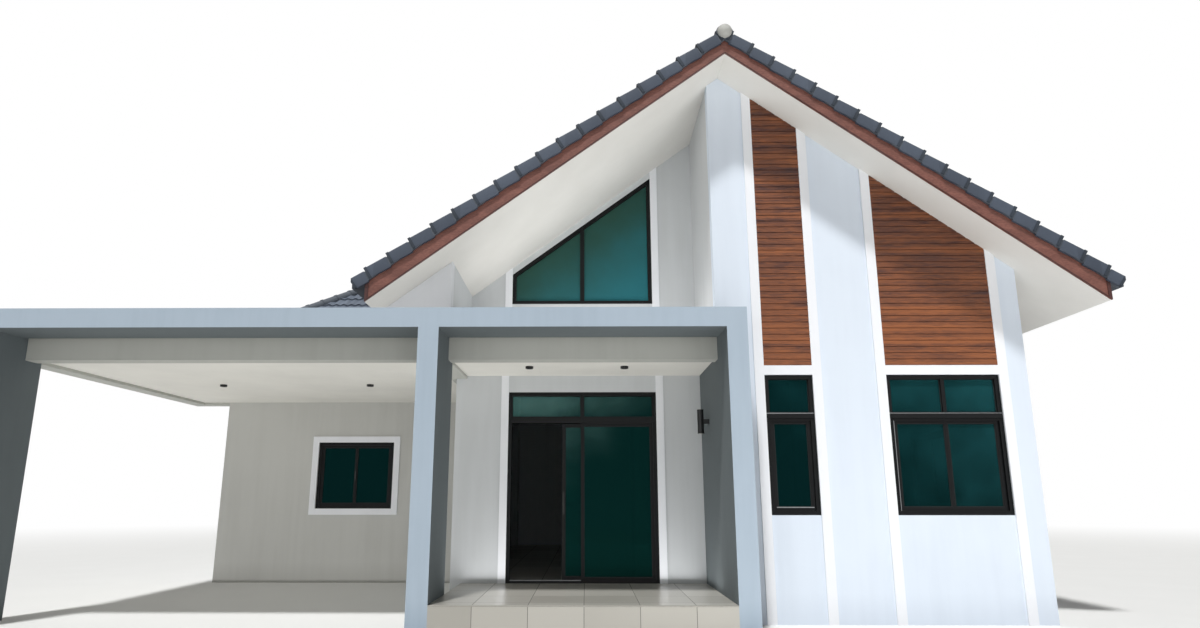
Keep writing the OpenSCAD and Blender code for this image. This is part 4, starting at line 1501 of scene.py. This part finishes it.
@dataclass
class Entry:
    """The sliding door's pull and sill rail, and the porch's nosing."""

    frame_w: float = 0.05
    leaf_w: float = 0.044
    rail_w: float = 0.006
    rail_h: float = 0.007
    rail_round: float = 0.002
    pull_w: float = 0.026
    pull_h: float = 0.3
    pull_t: float = 0.005
    pull_z: float = 1.35
    pull_rim: float = 0.005
    pull_well: float = 0.004
    pull_edge: float = 0.001
    nosing_w: float = 0.04
    nosing_h: float = 0.014
    nosing_proud: float = 0.002
    nosing_round: float = 0.006

    def pull(self) -> None:
        """A flush pull with a finger well, on the sliding leaf's left stile."""
        low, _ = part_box("sliding_leaf")
        mid = low.x + self.leaf_w / 2
        plate = Bench.block(
            "leaf_pull",
            (mid - self.pull_w / 2, low.y - self.pull_t, self.pull_z - self.pull_h / 2),
            (mid + self.pull_w / 2, low.y, self.pull_z + self.pull_h / 2),
        )
        Bench.select(plate, Pick.FACES, lambda _, normal: normal.y < -ALONG)
        bpy.ops.mesh.inset(thickness=self.pull_rim)
        bpy.ops.mesh.extrude_region_move(TRANSFORM_OT_translate={"value": (0, self.pull_well, 0)})
        Bench.done()
        Bench.bevel(plate, self.pull_edge)
        publish(plate, LAMP, Body.LEAF)

    def rail(self) -> None:
        """The sill's fixed rail, in the opening beside the fixed leaf."""
        low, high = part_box("door_fixed_leaf")
        y = (low.y + high.y) / 2
        rail = Bench.block(
            "door_sill_rail",
            (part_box("door_frame")[0].x + self.frame_w, y - self.rail_w / 2, low.z),
            (low.x, y + self.rail_w / 2, low.z + self.rail_h),
        )
        middle = low.z + self.rail_h / 2
        Bench.bevel(rail, self.rail_round, 2, lambda at, way: abs(way.x) > ALONG and at.z > middle)
        publish(rail, MILL_AND_HIGHLIGHT)

    def nosing(self) -> None:
        """A rounded stone strip along the porch's front edge."""
        low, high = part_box("porch_floor")
        strip = Bench.block(
            "porch_nosing",
            (low.x, low.y - self.nosing_proud, high.z - self.nosing_h),
            (high.x, low.y + self.nosing_w, high.z + self.nosing_proud / 2),
        )
        Bench.bevel(strip, self.nosing_round, 3, lambda at, way: abs(way.x) > ALONG and at.y < low.y)
        Bench.smooth(strip)
        publish(strip, NOSING)

    def build(self) -> None:
        """Builds and dresses all of it."""
        self.pull()
        self.rail()
        self.nosing()


@dataclass
class Lamps:
    """Lenses of the downlights, and end bands and lenses of the wall lamp."""

    lens_r: float = 0.036
    lens_t: float = 0.003
    lens_sides: int = 32
    well: float = 0.015
    # Height over which a lamp is the wall lamp
    tall: float = 0.1
    body_r: float = 0.042
    band_h: float = 0.014
    band_t: float = 0.002
    band_sides: int = 48
    # How many of its heights a band's middle lies from the lamp's end
    band_in: float = 0.6
    rim: float = 0.001

    def disc(self, name: str, radius: float, height: float, place: Place, sides: int) -> Piece:
        """A round part with softened rims.

        Args:
            name: The part's name.
            radius: Its radius.
            height: Its height.
            place: Its middle.
            sides: How many sides approximate the circle.

        Returns:
            The part.
        """
        disc = Bench.rod(name, radius, height, place, sides)
        Bench.bevel(disc, self.rim, 2, lambda _, way: abs(way.z) < ALONG)
        Bench.smooth(disc)
        return disc

    def lens(self, place: Place) -> Piece:
        """A lens with its middle at a place."""
        return self.disc("lens", self.lens_r, self.lens_t, place, self.lens_sides)

    def build(self) -> None:
        """Builds and dresses the lenses and the wall lamp's bands."""
        lenses, bands = [], []
        for low, high in solids("outdoor_lamps"):
            y = (low.y + high.y) / 2
            if high.z - low.z < self.tall:
                lenses.append(self.lens(((low.x + high.x) / 2, y, low.z + self.well - self.lens_t / 2)))
                continue
            x = low.x + self.body_r
            radius = self.body_r + self.band_t
            for z, side in ((low.z, 1), (high.z, -1)):
                lenses.append(self.lens((x, y, z - side * self.lens_t / 2)))
                place = (x, y, z + side * self.band_h * self.band_in)
                bands.append(self.disc("band", radius, self.band_h, place, self.band_sides))
        publish(Bench.join("lamp_lenses", lenses), LENS)
        publish(Bench.join("wall_lamp_bands", bands), LAMP)


@dataclass(frozen=True)
class SoftBox:
    """A large soft light that neither the camera nor a reflection sees."""

    place: Place
    size: Range
    # How bright its surface is, with one for plain white
    radiance: float
    # A point that it faces; it faces up where there is none
    aim: Place | None = None

    def light(self) -> None:
        """Adds the light."""
        place = Vector(self.place)
        way = Vector(self.aim) - place if self.aim else Vector((0, 0, 1))
        turn = way.to_track_quat("-Z", "Y").to_euler()
        Bench.clear()
        bpy.ops.object.light_add(type="AREA", location=place, rotation=turn)
        lamp = bpy.context.object
        lamp.data.shape = "RECTANGLE"
        lamp.data.size, lamp.data.size_y = self.size
        lamp.data.energy = self.radiance * math.pi * self.size[0] * self.size[1]
        lamp.visible_camera = lamp.visible_glossy = lamp.visible_transmission = False


FRONT_FILL = SoftBox((-2.0, -20.0, 3.4), (18.0, 5.0), 1.07, aim=(-2.0, 0.0, 3.0))
# Light that the porch, the carport's ground, the porch's roof and the yard throw up
BOUNCES = (
    SoftBox((-1.81, -4.65, 0.34), (3.2, 1.25), 1.95),
    SoftBox((-6.2, -3.0, 0.03), (4.9, 4.4), 0.42),
    SoftBox((-1.6, -4.7, 3.62), (2.7, 1.6), 1.9),
    SoftBox((-4.2, -5.5, 3.62), (1.6, 1.3), 0.57),
    SoftBox((3.0, -9.5, 0.02), (9.0, 6.0), 0.6),
)


def seen(graph: Graph) -> bpy.types.Node:
    """Finds the rays that show a surface to the camera, straight or by way of glass.

    Args:
        graph: The nodes of a material or world.

    Returns:
        A node that gives one for such rays.
    """
    rays = graph.add("ShaderNodeLightPath").outputs
    either = (rays["Is Camera Ray"], rays["Is Glossy Ray"])
    straight = graph.add("ShaderNodeMath", either, operation="MAXIMUM")
    return graph.add("ShaderNodeMath", (straight, rays["Is Transmission Ray"]), operation="MAXIMUM")


@dataclass(frozen=True)
class StudioFloor(Finish):
    """A matt painted floor that fades to the white background far from the building."""

    colour: str = "#E6E6E4"
    pale: str = "#EAEAE8"
    cloud_mm: float = 900.0
    fade: Range = (14.0, 42.0)
    roughness: float = 0.9

    def dress(self, graph: Graph) -> None:
        """Faint clouds, and a fade that only shows to the camera.

        Args:
            graph: The material's nodes.
        """
        length = graph.add("ShaderNodeVectorMath", (graph.coords(),), operation="LENGTH")
        far = graph.add("ShaderNodeMapRange", (length, *self.fade), interpolation_type="SMOOTHSTEP")
        cloud = graph.add("ShaderNodeTexNoise", (graph.coords(), per(self.cloud_mm)))
        tone = graph.add("ShaderNodeMix", (cloud, self.colour, self.pale), data_type="RGBA")
        graph.feed(graph.shader, {"Base Color": tone, "Roughness": self.roughness})
        shown = graph.add("ShaderNodeMath", (far, seen(graph)), operation="MULTIPLY")
        mix = graph.add("ShaderNodeMixShader", (shown, graph.shader, graph.add("ShaderNodeEmission")))
        graph.feed(graph.tree.nodes["Material Output"], {"Surface": mix})


@dataclass
class Studio:
    """A plain pale floor, soft light and the camera."""

    floor_half: float = 90.0
    world: float = 0.14
    sun: float = 2.87
    sun_angle: float = math.radians(5)
    sun_turn: Place = (math.radians(28), 0.0, math.radians(-18))
    lens: float = 23.825
    shift: float = 0.01863
    clip: float = 500.0
    camera_x: float = -1.77
    camera_back: float = 9.69
    camera_h: float = 1.4
    up: float = math.radians(13.151)
    left: float = math.radians(0.603)

    def floor(self) -> None:
        """The floor, which is no part of the object."""
        Bench.clear()
        bpy.ops.mesh.primitive_plane_add(size=2 * self.floor_half)
        floor = Bench.named("studio_floor")
        coat(floor.data, StudioFloor("matt_studio_floor"))

    def backdrop(self) -> None:
        """A faint even world, which the camera sees as white."""
        world = bpy.data.worlds.new("soft_studio")
        bpy.context.scene.world = world
        world.use_nodes = True
        graph = Graph(world.node_tree)
        fill = graph.tree.nodes["Background"]
        graph.feed(fill, {"Color": WHITE, "Strength": self.world})
        white = graph.add("ShaderNodeBackground", {"Color": WHITE})
        mix = graph.add("ShaderNodeMixShader", (seen(graph), fill, white))
        graph.feed(graph.tree.nodes["World Output"], {"Surface": mix})

    def light(self) -> None:
        """A front fill, light thrown up from below, a soft key from the upper left and the world."""
        for box in (FRONT_FILL, *BOUNCES):
            box.light()
        Bench.clear()
        bpy.ops.object.light_add(type="SUN", rotation=self.sun_turn)
        sun = bpy.context.object.data
        sun.energy = self.sun
        sun.angle = self.sun_angle
        self.backdrop()

    def camera(self) -> None:
        """The camera, on the ground in front of the entry and tilted up."""
        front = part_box("front_bay_wall")[0].y
        Bench.clear()
        bpy.ops.object.camera_add(
            location=(self.camera_x, front - self.camera_back, self.camera_h),
            rotation=(math.pi / 2 + self.up, 0, self.left),
        )
        camera = bpy.context.object
        camera.data.lens = self.lens
        camera.data.shift_x = self.shift
        camera.data.clip_end = self.clip
        bpy.context.scene.camera = camera

    def build(self) -> None:
        """Sets up all of it."""
        bpy.context.scene.view_settings.view_transform = "Standard"
        self.camera()
        self.floor()
        self.light()


def dress_nodes() -> None:
    """Gives every carried-over node its finish."""
    for finish, names in CARRIED.items():
        for name in names:
            coat(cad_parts[name].data, finish)
            log.info("%s takes %s", name, finish.name)


def main() -> None:
    """Builds the scene, from the studio to the last fitting."""
    logging.basicConfig(level=logging.INFO, format="%(message)s")
    Studio().build()
    dress_nodes()
    roof = Roof()
    for part in (roof, WingRoof(roof), Cladding(), Gaskets(), BayWindows(), Entry(), Lamps()):
        part.build()
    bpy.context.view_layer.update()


if __name__ == "__main__":
    main()
